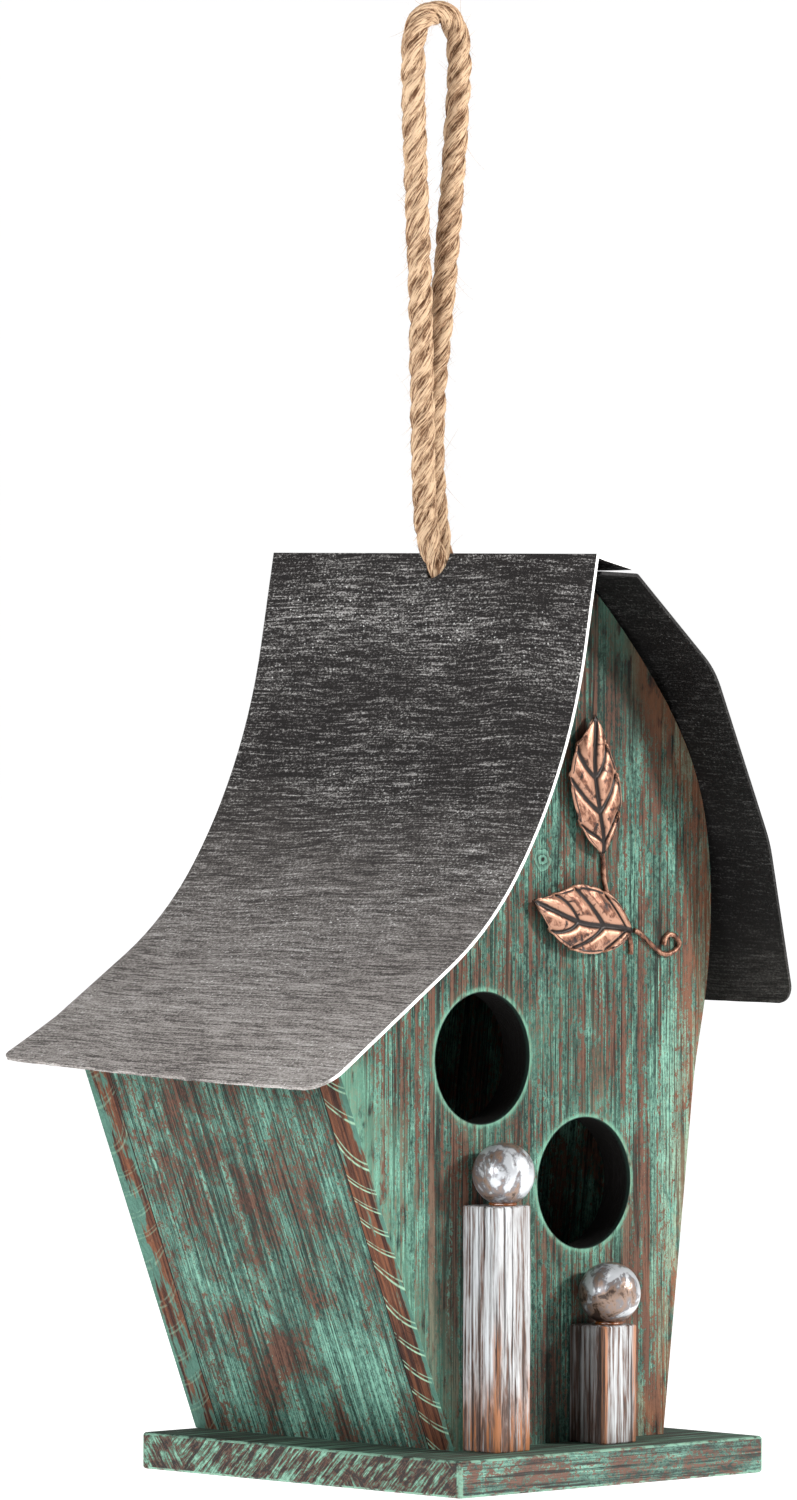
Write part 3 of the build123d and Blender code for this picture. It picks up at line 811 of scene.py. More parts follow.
@dataclass(frozen=True)
class RubbedTin:
    """Dark painted tin with fine silver dry-brushed strokes along the ridge, paler towards the eave partly as
    painted sheen, and with a painted glint on its front cut edge.

    Attributes:
        dark, pale: The colour at the ridge and near the eave; the paler eave is partly dry brushing and
            partly painted sheen.
        pale_from, pale_to: Heights between which it turns pale, in millimetres.
        strokes: How much silver shows, 0 to 1.
        cut: Depth of the front edge whose cut shows bare metal with a painted glint, in millimetres.
        rough: The roughness of its paint.
        hollow: The paint in hollows near the ridge.
        silver, bright: The strokes, and near white bare metal, which also paints the glint on the cut edge.
        sway: How far the strokes wander along X, Y and Z, in metres.
    """

    dark: Colour
    pale: Colour
    pale_from: float
    pale_to: float
    strokes: float
    cut: float
    rough: float = 0.62
    silver: Colour = tint(196, 193, 190)
    bright: Colour = tint(245, 245, 243)
    hollow: Colour = (0.006, 0.005, 0.005)
    sway: Triple = (0.006, 0.0, 0.012)

    def material(self, name: str) -> bpy.types.Material:
        """The finish of one sheet."""
        pattern = Pattern(name)
        sway = pattern.noise(pattern.scaled((9, 9, 9)), 2, 0.5)
        bent = pattern.add("VectorMath")
        bent.operation = "MULTIPLY_ADD"
        pattern.put(bent.inputs[0], sway)
        bent.inputs[1].default_value = self.sway
        pattern.put(bent.inputs[2], pattern.object_place())
        bent = bent.outputs[0]
        strokes = pattern.noise(pattern.scaled((1700, 75, 1700), bent), 3, 0.72)
        long_strokes = pattern.noise(pattern.scaled((420, 12, 420), bent), 3, 0.6)
        grit = pattern.noise(pattern.scaled((2000, 1100, 2000), bent), 3, 0.8)
        clouds = pattern.noise(pattern.scaled((24, 17, 24)), 4, 0.6)
        # Paler towards the eave: partly dry brushing, partly painted sheen of the light that the curved eave
        # reflects.
        rise = pattern.sum((pattern.coordinate("Z"), 1.0), (clouds, 0.05), plus=-BASE_UNDERSIDE - 0.025)
        pale = pattern.step(rise, self.pale_from * MM, self.pale_to * MM)
        base = pattern.mix(pale, self.dark, self.pale)
        shade = pattern.sum((strokes, 1.6), (long_strokes, 0.4), (grit, 1.5), (clouds, 0.4), plus=-1.45)
        hollow = pattern.mix(pale, self.hollow, self.dark)
        base = pattern.mix(pattern.times(pattern.step(shade, 0.56, 0.24), 0.8), base, hollow)
        brushed = pattern.sum(
            (strokes, 1.6), (long_strokes, 0.35), (grit, 1.9), (clouds, 0.45), (pale, 0.04), plus=-1.72
        )
        silver = pattern.times(pattern.step(brushed, 0.42, 1.0), self.strokes)
        colour = pattern.mix(silver, base, self.silver)
        dots = pattern.step(pattern.cells(pattern.scaled((760, 600, 760), bent)), 0.26, 0.10)
        dots = pattern.times(dots, pattern.step(clouds, 0.40, 0.62), pattern.step(grit, 0.46, 0.56))
        dots = pattern.times(dots, self.strokes)
        colour = pattern.mix(dots, colour, self.bright)
        # Painted glint: the front cut edge is painted near white, as bare metal catching the light.
        edge = pattern.step(pattern.coordinate("Y", pattern.place.outputs["Normal"]), -0.80, -0.97)
        front = pattern.step(pattern.coordinate("Y"), self.cut * MM + 0.012, self.cut * MM + 0.009)
        edge = pattern.times(edge, front)
        colour = pattern.mix(edge, colour, self.bright)
        relief = pattern.sum((strokes, 0.7), (grit, 0.7))
        rough = pattern.sum((silver, -0.12), plus=self.rough)
        pattern.shader.inputs["Specular IOR Level"].default_value = 0.22
        return pattern.finish(colour, rough, relief, 0.00010, metal=0.05)


@dataclass(frozen=True)
class AntiqueCopper:
    """Stamped copper, rubbed bright in places and black in the grooves, with a painted highlight on the lip
    beside each groove.

    Attributes:
        engraved: Whether the mesh stores how deep each point lies.
        bright, copper, brown, black: From what is rubbed most to what lies deepest; bright also paints the
            highlight on the lips.
    """

    engraved: bool
    bright: Colour = tint(167, 126, 104)
    copper: Colour = tint(118, 77, 58)
    brown: Colour = tint(78, 47, 35)
    black: Colour = tint(26, 18, 16)

    def material(self, name: str) -> bpy.types.Material:
        """The finish."""
        pattern = Pattern(name)
        patina = pattern.noise(pattern.scaled((240, 240, 240)), 5, 0.68, 0.6)
        scratches = pattern.noise(pattern.scaled((1300, 900, 420), pattern.turned((0, 30, 0))), 3, 0.65)
        tone = pattern.sum((patina, 1.3), (scratches, 0.7), plus=-0.5)
        colour = pattern.ramp(
            tone, (0.28, self.black), (0.38, self.brown), (0.50, self.copper), (0.66, self.bright)
        )
        if self.engraved:
            groove = pattern.step(pattern.attribute("groove"), 0.22, 0.62)
            colour = pattern.mix(groove, colour, self.black)
            # Painted highlight: the lip beside each groove and along the rim takes the bright copper.
            lip = pattern.step(pattern.attribute("lip"), 0.3, 0.8)
            colour = pattern.mix(pattern.times(lip, pattern.step(patina, 0.38, 0.48)), colour, self.bright)
        height = pattern.sum((patina, 0.8), (scratches, 0.5))
        return pattern.finish(colour, 0.42, height, 0.0002, metal=0.55)


@dataclass(frozen=True)
class Jute:
    """Natural jute: pale fibres along each strand, with painted shade on each strand's inner side, where the
    strands meet.

    Attributes:
        fuzz: Whether this is the loose fibres rather than the strands.
        pale, middle, brown: From the palest fibres to the brownest, which also take the painted shade where
            the strands meet.
    """

    fuzz: bool
    pale: Colour = tint(214, 184, 152)
    middle: Colour = tint(172, 138, 108)
    brown: Colour = tint(98, 67, 46)

    def material(self, name: str) -> bpy.types.Material:
        """The finish."""
        pattern = Pattern(name)
        if self.fuzz:
            shade = pattern.noise(pattern.scaled((300, 300, 300)), 2, 0.5)
            return pattern.finish(pattern.ramp(shade, (0.35, self.middle), (0.6, self.pale)), 0.8)
        laid = pattern.add("UVMap")
        laid.uv_map = "strand"
        turned = pattern.turned((0, 0, -9), laid.outputs[0])
        fibres = pattern.noise(pattern.scaled((2600, 300, 1), turned), 3, 0.7, 0.5)
        yarns = pattern.noise(pattern.scaled((1000, 130, 1), turned), 3, 0.65, 0.8)
        stains = pattern.noise(pattern.scaled((150, 150, 150)), 4, 0.6)
        # Painted shade: the stored value darkens each strand's inner side, where the strands meet.
        hollow = pattern.attribute("hollow")
        tone = pattern.sum((fibres, 2.2), (yarns, 1.5), (stains, 0.5), (hollow, -0.34), plus=-1.52)
        colour = pattern.ramp(tone, (0.24, self.brown), (0.46, self.middle), (0.66, self.pale))
        height = pattern.sum((fibres, 1.0), (yarns, 0.9))
        pattern.shader.inputs["Specular IOR Level"].default_value = 0.15
        return pattern.finish(colour, 0.9, height, 0.0007)


@dataclass(frozen=True)
class PlainMetal:
    """Zinc-plated steel with small scratches and dull patches."""

    colour: Colour = tint(150, 148, 142)
    dull: Colour = tint(96, 92, 86)

    def material(self, name: str) -> bpy.types.Material:
        """The finish."""
        pattern = Pattern(name)
        patches = pattern.noise(pattern.scaled((600, 600, 600)), 4, 0.6)
        colour = pattern.mix(pattern.step(patches, 0.42, 0.6), self.colour, self.dull)
        rough = pattern.sum((patches, 0.3), plus=0.25)
        return pattern.finish(colour, rough, patches, 0.0001, metal=0.9)


@dataclass(frozen=True)
class AmberGlue:
    """A bead of dried amber glue."""

    colour: Colour = tint(150, 84, 30)
    deep: Colour = tint(84, 44, 18)

    def material(self, name: str) -> bpy.types.Material:
        """The finish."""
        pattern = Pattern(name)
        cloudy = pattern.noise(pattern.scaled((500, 500, 500)), 2, 0.5)
        colour = pattern.mix(cloudy, self.colour, self.deep)
        pattern.shader.inputs["Coat Weight"].default_value = 0.6
        return pattern.finish(colour, 0.3, cloudy, 0.0002)


# ---------------------------------------------------------------- rope
@dataclass
class RopeLoop:
    """The jute loop, its knot under the roof and its loose fibres.

    Attributes:
        diameter: Of the rope, in millimetres.
        pitch: Length of one turn of the strands, in millimetres.
        strands: How many strands are laid together.
        gap: Between the rings of a strand's mesh, in millimetres.
        sides: Corners of each ring.
        thick: A strand's radius, as a share of the rope's diameter.
        offset: How far a strand's middle is from the rope's, as a share of the rope's diameter.
        squash: How much wider than deep a strand is.
        fibres: How many loose fibres there are.
        fibre_steps: How many pieces a fibre bends in.
        knot_turns: How many turns the knot has.
        knot_reach: Radius of its turns, in millimetres.
        route: The rope's line, up one side, over the hang point and down the other, in millimetres.
    """

    diameter: float = 6.5
    pitch: float = 23.0
    strands: int = 3
    gap: float = 0.9
    sides: int = 14
    thick: float = 0.300
    offset: float = 0.262
    squash: float = 1.22
    fibres: int = 1500
    fibre_steps: int = 5
    knot_turns: float = 1.9
    knot_reach: float = 5.6
    route: tuple[Triple, ...] = (
        (3.6, -2.45, -164.8),
        (3.4, -2.35, -162.0),
        (0.95, -1.2, -157.0),
        (-1.9, -0.1, -151.0),
        (-3.8, -0.6, -141.0),
        (-4.8, -1.2, -127.0),
        (-5.25, -1.0, -107.0),
        (-5.0, -0.4, -85.0),
        (-6.1, -0.1, -60.0),
        (-7.6, 0.0, -32.0),
        (-8.0, 0.0, -15.0),
        (-8.0, 0.2, -3.5),
        (-3.6, 0.0, 3.25),
        (6.4, 0.0, 3.25),
        (10.8, 0.2, -3.5),
        (10.8, 0.0, -15.0),
        (9.4, 0.0, -32.0),
        (6.7, 0.1, -60.0),
        (4.3, 0.45, -85.0),
        (1.55, 1.0, -107.0),
        (1.3, 1.25, -127.0),
        (2.5, 1.4, -141.0),
        (4.95, 2.1, -151.0),
        (6.6, 2.7, -157.0),
        (7.6, 2.8, -162.0),
        (7.8, 2.85, -164.8),
    )

    def line(self, name: str, points: list[Vector], steps: int) -> list[Vector]:
        """Points along a smooth line.

        Args:
            name: A name for the scratch curve.
            points: The line's control points, in metres.
            steps: How many points the curve gives for each span.

        Returns:
            Closely spaced points on the line.
        """
        curve = bpy.data.curves.new(name, "CURVE")
        curve.dimensions = "3D"
        curve.resolution_u = steps
        spline = curve.splines.new("NURBS")
        spline.points.add(len(points) - 1)
        for point, place in zip(spline.points, points):
            point.co = (*place, 1.0)
        spline.order_u = 3
        spline.use_endpoint_u = True
        scratch = put_in_scene(name, curve)
        mesh = bpy.data.meshes.new_from_object(scratch)
        places = [vertex.co.copy() for vertex in mesh.vertices]
        bpy.data.objects.remove(scratch)
        bpy.data.curves.remove(curve)
        bpy.data.meshes.remove(mesh)
        return places

    def evenly(self, places: list[Vector], gap: float) -> list[Vector]:
        """The same line with points about one gap apart."""
        runs = [(b - a).length for a, b in zip(places, places[1:])]
        count = max(2, round(sum(runs) / gap))
        spaced = [places[0]]
        index, passed = 0, 0.0
        for number in range(1, count):
            wanted = number * sum(runs) / count
            while passed + runs[index] < wanted:
                passed += runs[index]
                index += 1
            spaced.append(places[index].lerp(places[index + 1], (wanted - passed) / runs[index]))
        return spaced + [places[-1]]

    def frames(self, places: list[Vector]) -> list[tuple[Vector, Vector, Vector]]:
        """A direction and two crossways directions at each point, which don't spin along the line."""
        after = places[1:] + places[-1:]
        before = places[:1] + places[:-1]
        tangents = [(b - a).normalized() for a, b in zip(before, after)]
        side = tangents[0].orthogonal().normalized()
        found = []
        for tangent in tangents:
            side = (side - tangent * side.dot(tangent)).normalized()
            found.append((tangent, side, tangent.cross(side)))
        return found

    def lay(self, name: str, places: list[Vector], diameter: float, seed: float) -> bpy.types.Object:
        """Twisted strands along a line.

        Args:
            name: The piece's name.
            places: Points of the line, in metres.
            diameter: Of the whole rope, in metres.
            seed: Offset of its unevenness.

        Returns:
            One closed mesh for each strand, in one piece.
        """
        places = self.evenly(places, self.gap * MM)
        frames = self.frames(places)
        sides = self.sides
        thick, offset = self.thick * diameter, self.offset * diameter
        vertices, faces, strand_shade, uvs = [], [], [], []
        for strand in range(self.strands):
            first = len(vertices)
            length = 0.0
            for ring, (place, (tangent, side, up)) in enumerate(zip(places, frames)):
                if ring:
                    length += (place - places[ring - 1]).length
                swell = noise.noise(Vector((length * 160, strand * 7.0, seed)))
                turn = 2 * math.pi * (length / (self.pitch * MM) + strand / self.strands) + 0.25 * swell
                out = side * math.cos(turn) + up * math.sin(turn)
                crosswise = tangent.cross(out)
                middle = place + out * offset * (1 + 0.10 * swell)
                for corner in range(sides):
                    angle = 2 * math.pi * corner / sides
                    cosine, sine = math.cos(angle), math.sin(angle)
                    lump = noise.noise(Vector((length * 420 + angle, sine * 1.5, strand * 5 + seed)))
                    radius = thick * (1 + 0.07 * swell + 0.10 * lump)
                    vertices.append(middle + out * radius * cosine + crosswise * self.squash * radius * sine)
                    # Painted shade where the strands meet: 1 on a strand's inner side, 0 on its outer side.
                    strand_shade.append(0.5 - 0.5 * cosine)
                    uvs.append((corner / sides * 2 * math.pi * thick, length))
            for ring in range(len(places) - 1):
                for corner in range(sides):
                    after = (corner + 1) % sides
                    a = first + ring * sides
                    faces.append((a + corner, a + after, a + sides + after, a + sides + corner))
            faces.append(tuple(first + corner for corner in reversed(range(sides))))
            last = first + (len(places) - 1) * sides
            faces.append(tuple(last + corner for corner in range(sides)))
        mesh = bpy.data.meshes.new(name)
        mesh.from_pydata(vertices, [], faces)
        layer = mesh.uv_layers.new(name="strand")
        around = 2 * math.pi * thick
        for polygon in mesh.polygons:
            us = [uvs[v][0] for v in polygon.vertices]
            for loop, vertex in zip(polygon.loop_indices, polygon.vertices):
                u, v = uvs[vertex]
                if max(us) - min(us) > around / 2 and u < around / 2:
                    u += around
                layer.data[loop].uv = (u, v)
        mesh.attributes.new("hollow", "FLOAT", "POINT").data.foreach_set("value", strand_shade)
        piece = put_in_scene(name, mesh)
        turn_outwards(piece)
        bpy.ops.object.shade_smooth()
        return piece

    def fuzz(self, places: list[Vector]) -> bpy.types.Object:
        """Short loose fibres that stand off the rope."""
        chance = random.Random(11)
        places = self.evenly(places, self.gap * MM)
        frames = self.frames(places)
        vertices, faces = [], []
        radius = self.diameter / 2 * MM
        steps = self.fibre_steps
        for _ in range(self.fibres):
            ring = chance.randrange(6, len(places) - 12)
            tangent, side, up = frames[ring]
            turn = chance.uniform(0, 2 * math.pi)
            out = side * math.cos(turn) + up * math.sin(turn)
            long_one = chance.random() < 0.03
            reach = chance.uniform(6.0, 11.0) * MM if long_one else chance.uniform(1.5, 4.6) * MM
            stand = chance.uniform(0.15, 0.75)
            way = tangent * chance.choice((-1, 1)) + out * stand
            curl = (side * chance.uniform(-1, 1) + up * chance.uniform(-1, 1) + out * 0.4) * reach * 0.45
            start = places[ring] + out * radius * 0.90
            thick = chance.uniform(0.045, 0.085) * MM
            first = len(vertices)
            for step in range(steps + 1):
                share = step / steps
                middle = start + way.normalized() * reach * share + curl * share * share
                for corner in range(3):
                    angle = 2 * math.pi * corner / 3
                    spread = thick * (1 - 0.8 * share)
                    way_out = side * math.cos(angle) + up * math.sin(angle) + tangent * 0.3 * math.sin(angle)
                    vertices.append(middle + way_out * spread)
            for step in range(steps):
                for corner in range(3):
                    after = (corner + 1) % 3
                    a = first + 3 * step
                    faces.append((a + corner, a + after, a + 3 + after, a + 3 + corner))
            faces.append((first + 2, first + 1, first))
            faces.append((first + 3 * steps, first + 3 * steps + 1, first + 3 * steps + 2))
        mesh = bpy.data.meshes.new("rope_fibres")
        mesh.from_pydata(vertices, [], faces)
        return put_in_scene("rope_fibres", mesh)

    def knot(self) -> bpy.types.Object:
        """The knot: two turns about the strands' ends and two frayed tails."""
        low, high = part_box("rope_knot")
        middle_x, middle_y = 8.7 * MM, 0.3 * MM
        coil = []
        points = 24
        around, top = self.knot_reach * MM, high.z - 3.4 * MM
        for step in range(points):
            share = step / (points - 1)
            angle = math.radians(200) + 2 * math.pi * self.knot_turns * share
            place = (middle_x + around * math.cos(angle), middle_y + around * math.sin(angle))
            coil.append(Vector((*place, top - 6.2 * MM * share)))
        tails = []
        for side in (-1, 1):
            root = Vector((middle_x + side * 3.2 * MM, middle_y, high.z - 5.0 * MM))
            tip = Vector((middle_x + side * 8.6 * MM, middle_y + side * 0.8 * MM, low.z + 1.5 * MM))
            bow = root.lerp(tip, 0.5) + Vector((side * -1.0 * MM, 0, 0))
            tails.append([root, root.lerp(bow, 0.5), bow, bow.lerp(tip, 0.5), tip])
        pieces = [self.lay("knot_wraps", self.line("knot", coil, 12), 6.3 * MM, 3.0)]
        for number, tail in enumerate(tails):
            pieces.append(self.lay(f"tail_{number}", self.line("tail", tail, 12), 5.8 * MM, 5.0 + number))
        deselect()
        for piece in pieces:
            piece.select_set(True)
        bpy.context.view_layer.objects.active = pieces[0]
        bpy.ops.object.join()
        return bpy.context.object

    def build(self) -> None:
        places = self.line("rope_line", [Vector(point) * MM for point in self.route], 14)
        rope = self.lay("twisted_rope", places, self.diameter * MM, 0.0)
        fit_out(rope, "house", Jute(False).material("jute_strands"), ("hanging_rope",))
        fibres = self.fuzz(places)
        fit_out(fibres, "house", Jute(True).material("jute_fibres"))
        knot = self.knot()
        fit_out(knot, "house", rope.data.materials[0], ("rope_knot",))
        self.evenly(places, 1.5 * MM)


# ---------------------------------------------------------------- roof
@dataclass
class Roof:
    """Two bent tin sheets and their nails.

    Attributes:
        eave_lift: How far the back end of the left eave is bent up, in millimetres.
        lip_lift: How far the front end of the ridge lip stands off, in millimetres.
        wear: How uneven the eave's cut edge is, in millimetres.
        ridge: Height of the ridge, in millimetres.
        rope_hole: Radius within which points are on the rope hole's rim, in millimetres.
        rim_drawn: What is left of the rim's distance from the rope after it is drawn in.
    """

    eave_lift: float = 4.0
    lip_lift: float = 0.3
    wear: float = 0.35
    ridge: float = 268.4
    rope_hole: float = 7.8
    rim_drawn: float = 0.25

    def left_sheet(self) -> bpy.types.Object:
        """The swept left sheet, a little bent and with a worn eave."""
        piece = cad_copy("roof_left_sheet", "left_roof_tin")
        low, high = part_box("roof_left_sheet")
        cut_across(piece, [low.y + (high.y - low.y) * n / 45 for n in range(1, 45)], 1)
        cut_across(piece, [low.x + 1.5 * MM, low.x + 6 * MM, low.x + 14 * MM, low.x + 22 * MM], 0)
        cut_across(piece, [high.x - n * 2 * MM for n in range(1, 7)], 0)
        ridge = self.ridge * MM + BASE_UNDERSIDE
        for vertex in piece.data.vertices:
            place = vertex.co
            on_rim = math.hypot(place.y, place.z - ridge) < self.rope_hole * MM and abs(place.x) < 4 * MM
            if on_rim and place.y > 0:
                place.y *= self.rim_drawn + (1 - self.rim_drawn) * clamped((place.x - 1 * MM) / (3 * MM))
            back = (place.y - low.y) / (high.y - low.y)
            outward = clamped((low.x + 30 * MM - place.x) / (30 * MM))
            place.z += self.eave_lift * MM * back**1.6 * outward**1.3
            front = clamped((low.y + 14 * MM - place.y) / (14 * MM))
            lip = clamped((place.x - 5 * MM) / (10 * MM))
            place.z += self.lip_lift * MM * front**1.5 * lip
            if outward > 0.93:
                ripple = noise.noise(Vector((place.y * 230, 0, 0)))
                ripple += 0.5 * noise.noise(Vector((place.y * 700, 3, 0)))
                place.x += self.wear * MM * ripple
                place.z += 0.5 * self.wear * MM * ripple
        take(piece)
        bpy.ops.object.shade_smooth_by_angle(angle=math.radians(30))
        return piece

    def right_sheet(self) -> bpy.types.Object:
        """The bent right sheet with softened cut edges."""
        piece = cad_copy("roof_right_sheet", "right_roof_tin")
        low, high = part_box("roof_right_sheet")
        cut_across(piece, [low.y + (high.y - low.y) * n / 30 for n in range(1, 30)], 1)
        for vertex in piece.data.vertices:
            place = vertex.co
            if place.z < low.z + 3 * MM:
                place.x += 0.3 * MM * noise.noise(Vector((place.y * 90, 5, 0)))
                place.z += 0.35 * MM * noise.noise(Vector((place.y * 160, 1, 0)))
        take(piece)
        bpy.ops.object.shade_smooth_by_angle(angle=math.radians(30))
        return piece

    def build(self) -> None:
        """Makes and dresses the roof."""
        # Left sheet: paler towards the eave, partly as painted sheen, with a painted glint on its front cut
        # edge.
        left = RubbedTin(
            dark=tint(22, 18, 17),
            pale=tint(138, 132, 128),
            pale_from=206,
            pale_to=112,
            strokes=0.62,
            cut=-67.9,
        )
        fit_out(self.left_sheet(), "house", left.material("rubbed_tin_with_painted_sheen"), ("roof_left_sheet",))
        # Painted shade: the right sheet, whose inside shows under the roof, is a near-black copy of the tin
        # with few strokes.
        right = RubbedTin(
            dark=tint(7, 6, 6), pale=tint(40, 38, 36), pale_from=160, pale_to=136, strokes=0.09, cut=-90.0
        )
        fit_out(self.right_sheet(), "house", right.material("tin_in_painted_shade"), ("roof_right_sheet",))
        repaint("roof_nails", PlainMetal().material("nail_steel"))


# ---------------------------------------------------------------- box of boards
@dataclass
class House:
    """The base, two panels, two walls and their screws and brads.

    Attributes:
        arris: How far a board's edges are rounded, in millimetres.
        upper_hole, lower_hole: Entry holes as (x, height), in millimetres.
    """

    arris: float = 0.55
    upper_hole: tuple[float, float] = (-25.7, 123.3)
    lower_hole: tuple[float, float] = (15.8, 85.7)

    def board(self, node: str, name: str) -> bpy.types.Object:
        """A board with rounded arrises in place of a CAD node."""
        piece = cad_copy(node, name)
        round_edges(piece, self.arris * MM)
        return piece

    def build(self) -> None:
        """Makes and dresses both panels, both walls, the base and their fasteners."""
        front = PanelPaint(
            paint=DistressedPaint(bare=0.01, blotch=0.55, streaks=1.25, flecks=1.1),
            inside_from=1,
            inside_at=-37.4,
            outside_at=-47.5,
            holes=(self.upper_hole, self.lower_hole),
            knot=(-1.5, 180.0),
            rubbed=(
                Spot(16, -47.5, 128, (22, 30, 24), 0.10),
                Spot(-42, -47.5, 50, (16, 30, 50), 0.08),
                Spot(4, -47.5, 28, (24, 30, 16), 0.07),
                Spot(50, -47.5, 20, (14, 30, 14), 0.10),
                Spot(54, -47.5, 90, (16, 30, 60), -0.08),
                Spot(0, -47.5, 190, (20, 30, 30), -0.03),
            ),
            # Painted light and shade: the first patch lights the lit right side, the three below 0 paint
            # shade round and between the posts and under the roof, and the one at the left edge only lightens
            # the paint.
            bright=(
                Spot(52, -47.5, 95, (16, 30, 75), 0.14),
                Spot(-62, -47.5, 108, (22, 30, 30), 0.08),
                Spot(-24, -47.5, 55, (14, 30, 50), -0.28),
                Spot(2, -47.5, 30, (12, 30, 34), -0.22),
                Spot(20, -47.5, 225, (26, 30, 26), -0.20),
            ),
            # Painted shade under the right roof sheet, at the top under the ridge, and left of the short post
            # and of the tall post.
            painted_shade_spots=(
                Spot(46, -47.5, 256, (46, 30, 72), 0.85),
                Spot(2, -47.5, 266, (24, 30, 26), 0.50),
                Spot(0, -47.5, 26, (12, 30, 34), 0.45),
                Spot(-38, -47.5, 56, (8, 30, 54), 0.35),
            ),
        )
        piece = self.board("front_panel", "front_board")
        fit_out(piece, "house", front.material("front_paint"), ("front_panel",))
        back = PanelPaint(
            paint=DistressedPaint(),
            inside_from=-1,
            inside_at=51.1,
            outside_at=61.2,
            marks=0.25,
            green=0.12,
        )
        piece = self.board("back_panel", "back_board")
        fit_out(piece, "house", back.material("back_paint"), ("back_panel",))
        left = WallPaint(
            DistressedPaint(grain=Grain.LEANING_LEFT, bare=-0.035, streaks=0.35, flecks=1.9, crack=0.6),
            rubbed=(
                Spot(-60, 6, 96, (60, 40, 34), 0.07),
                Spot(-46, 8, 37, (40, 15, 12), 0.20),
                Spot(-46, -18, 40, (60, 22, 40), -0.07),
            ),
            bright=(Spot(-46, -20, 30, (60, 26, 30), 0.16),),
        )
        piece = self.board("left_wall", "left_board")
        fit_out(piece, "house", left.material("wall_paint"), ("left_wall",))
        right = WallPaint(DistressedPaint(grain=Grain.LEANING_RIGHT, flecks=1.3))
        piece = self.board("right_wall", "right_board")
        fit_out(piece, "house", right.material("side_paint"), ("right_wall",))
        base = EndGrain(DistressedPaint(grain=Grain.ACROSS, bare=0.02, flecks=1.5))
        repaint("base_board", base.material("base_paint"))
        steel = PlainMetal().material("screw_steel")
        for node in ("base_screws", "front_panel_brads", "back_panel_brads"):
            repaint(node, steel)


@dataclass
class CleanOutDoor:
    """The door on the back and the screw that it swings on.

    Attributes:
        arris: How far its edges are rounded, in millimetres.
    """

    arris: float = 0.7

    def build(self) -> None:
        """Makes and dresses the door."""
        piece = cad_copy("clean_out_door", "door_board")
        round_edges(piece, self.arris * MM)
        paint = PanelPaint(
            DistressedPaint(bare=0.01),
            inside_from=-1,
            inside_at=61.7,
            outside_at=66.9,
            marks=0.0,
            green=0.1,
        )
        fit_out(piece, "door", paint.material("door_paint"), ("clean_out_door",))
        repaint("door_pivot_screw", PlainMetal().material("pivot_steel"))


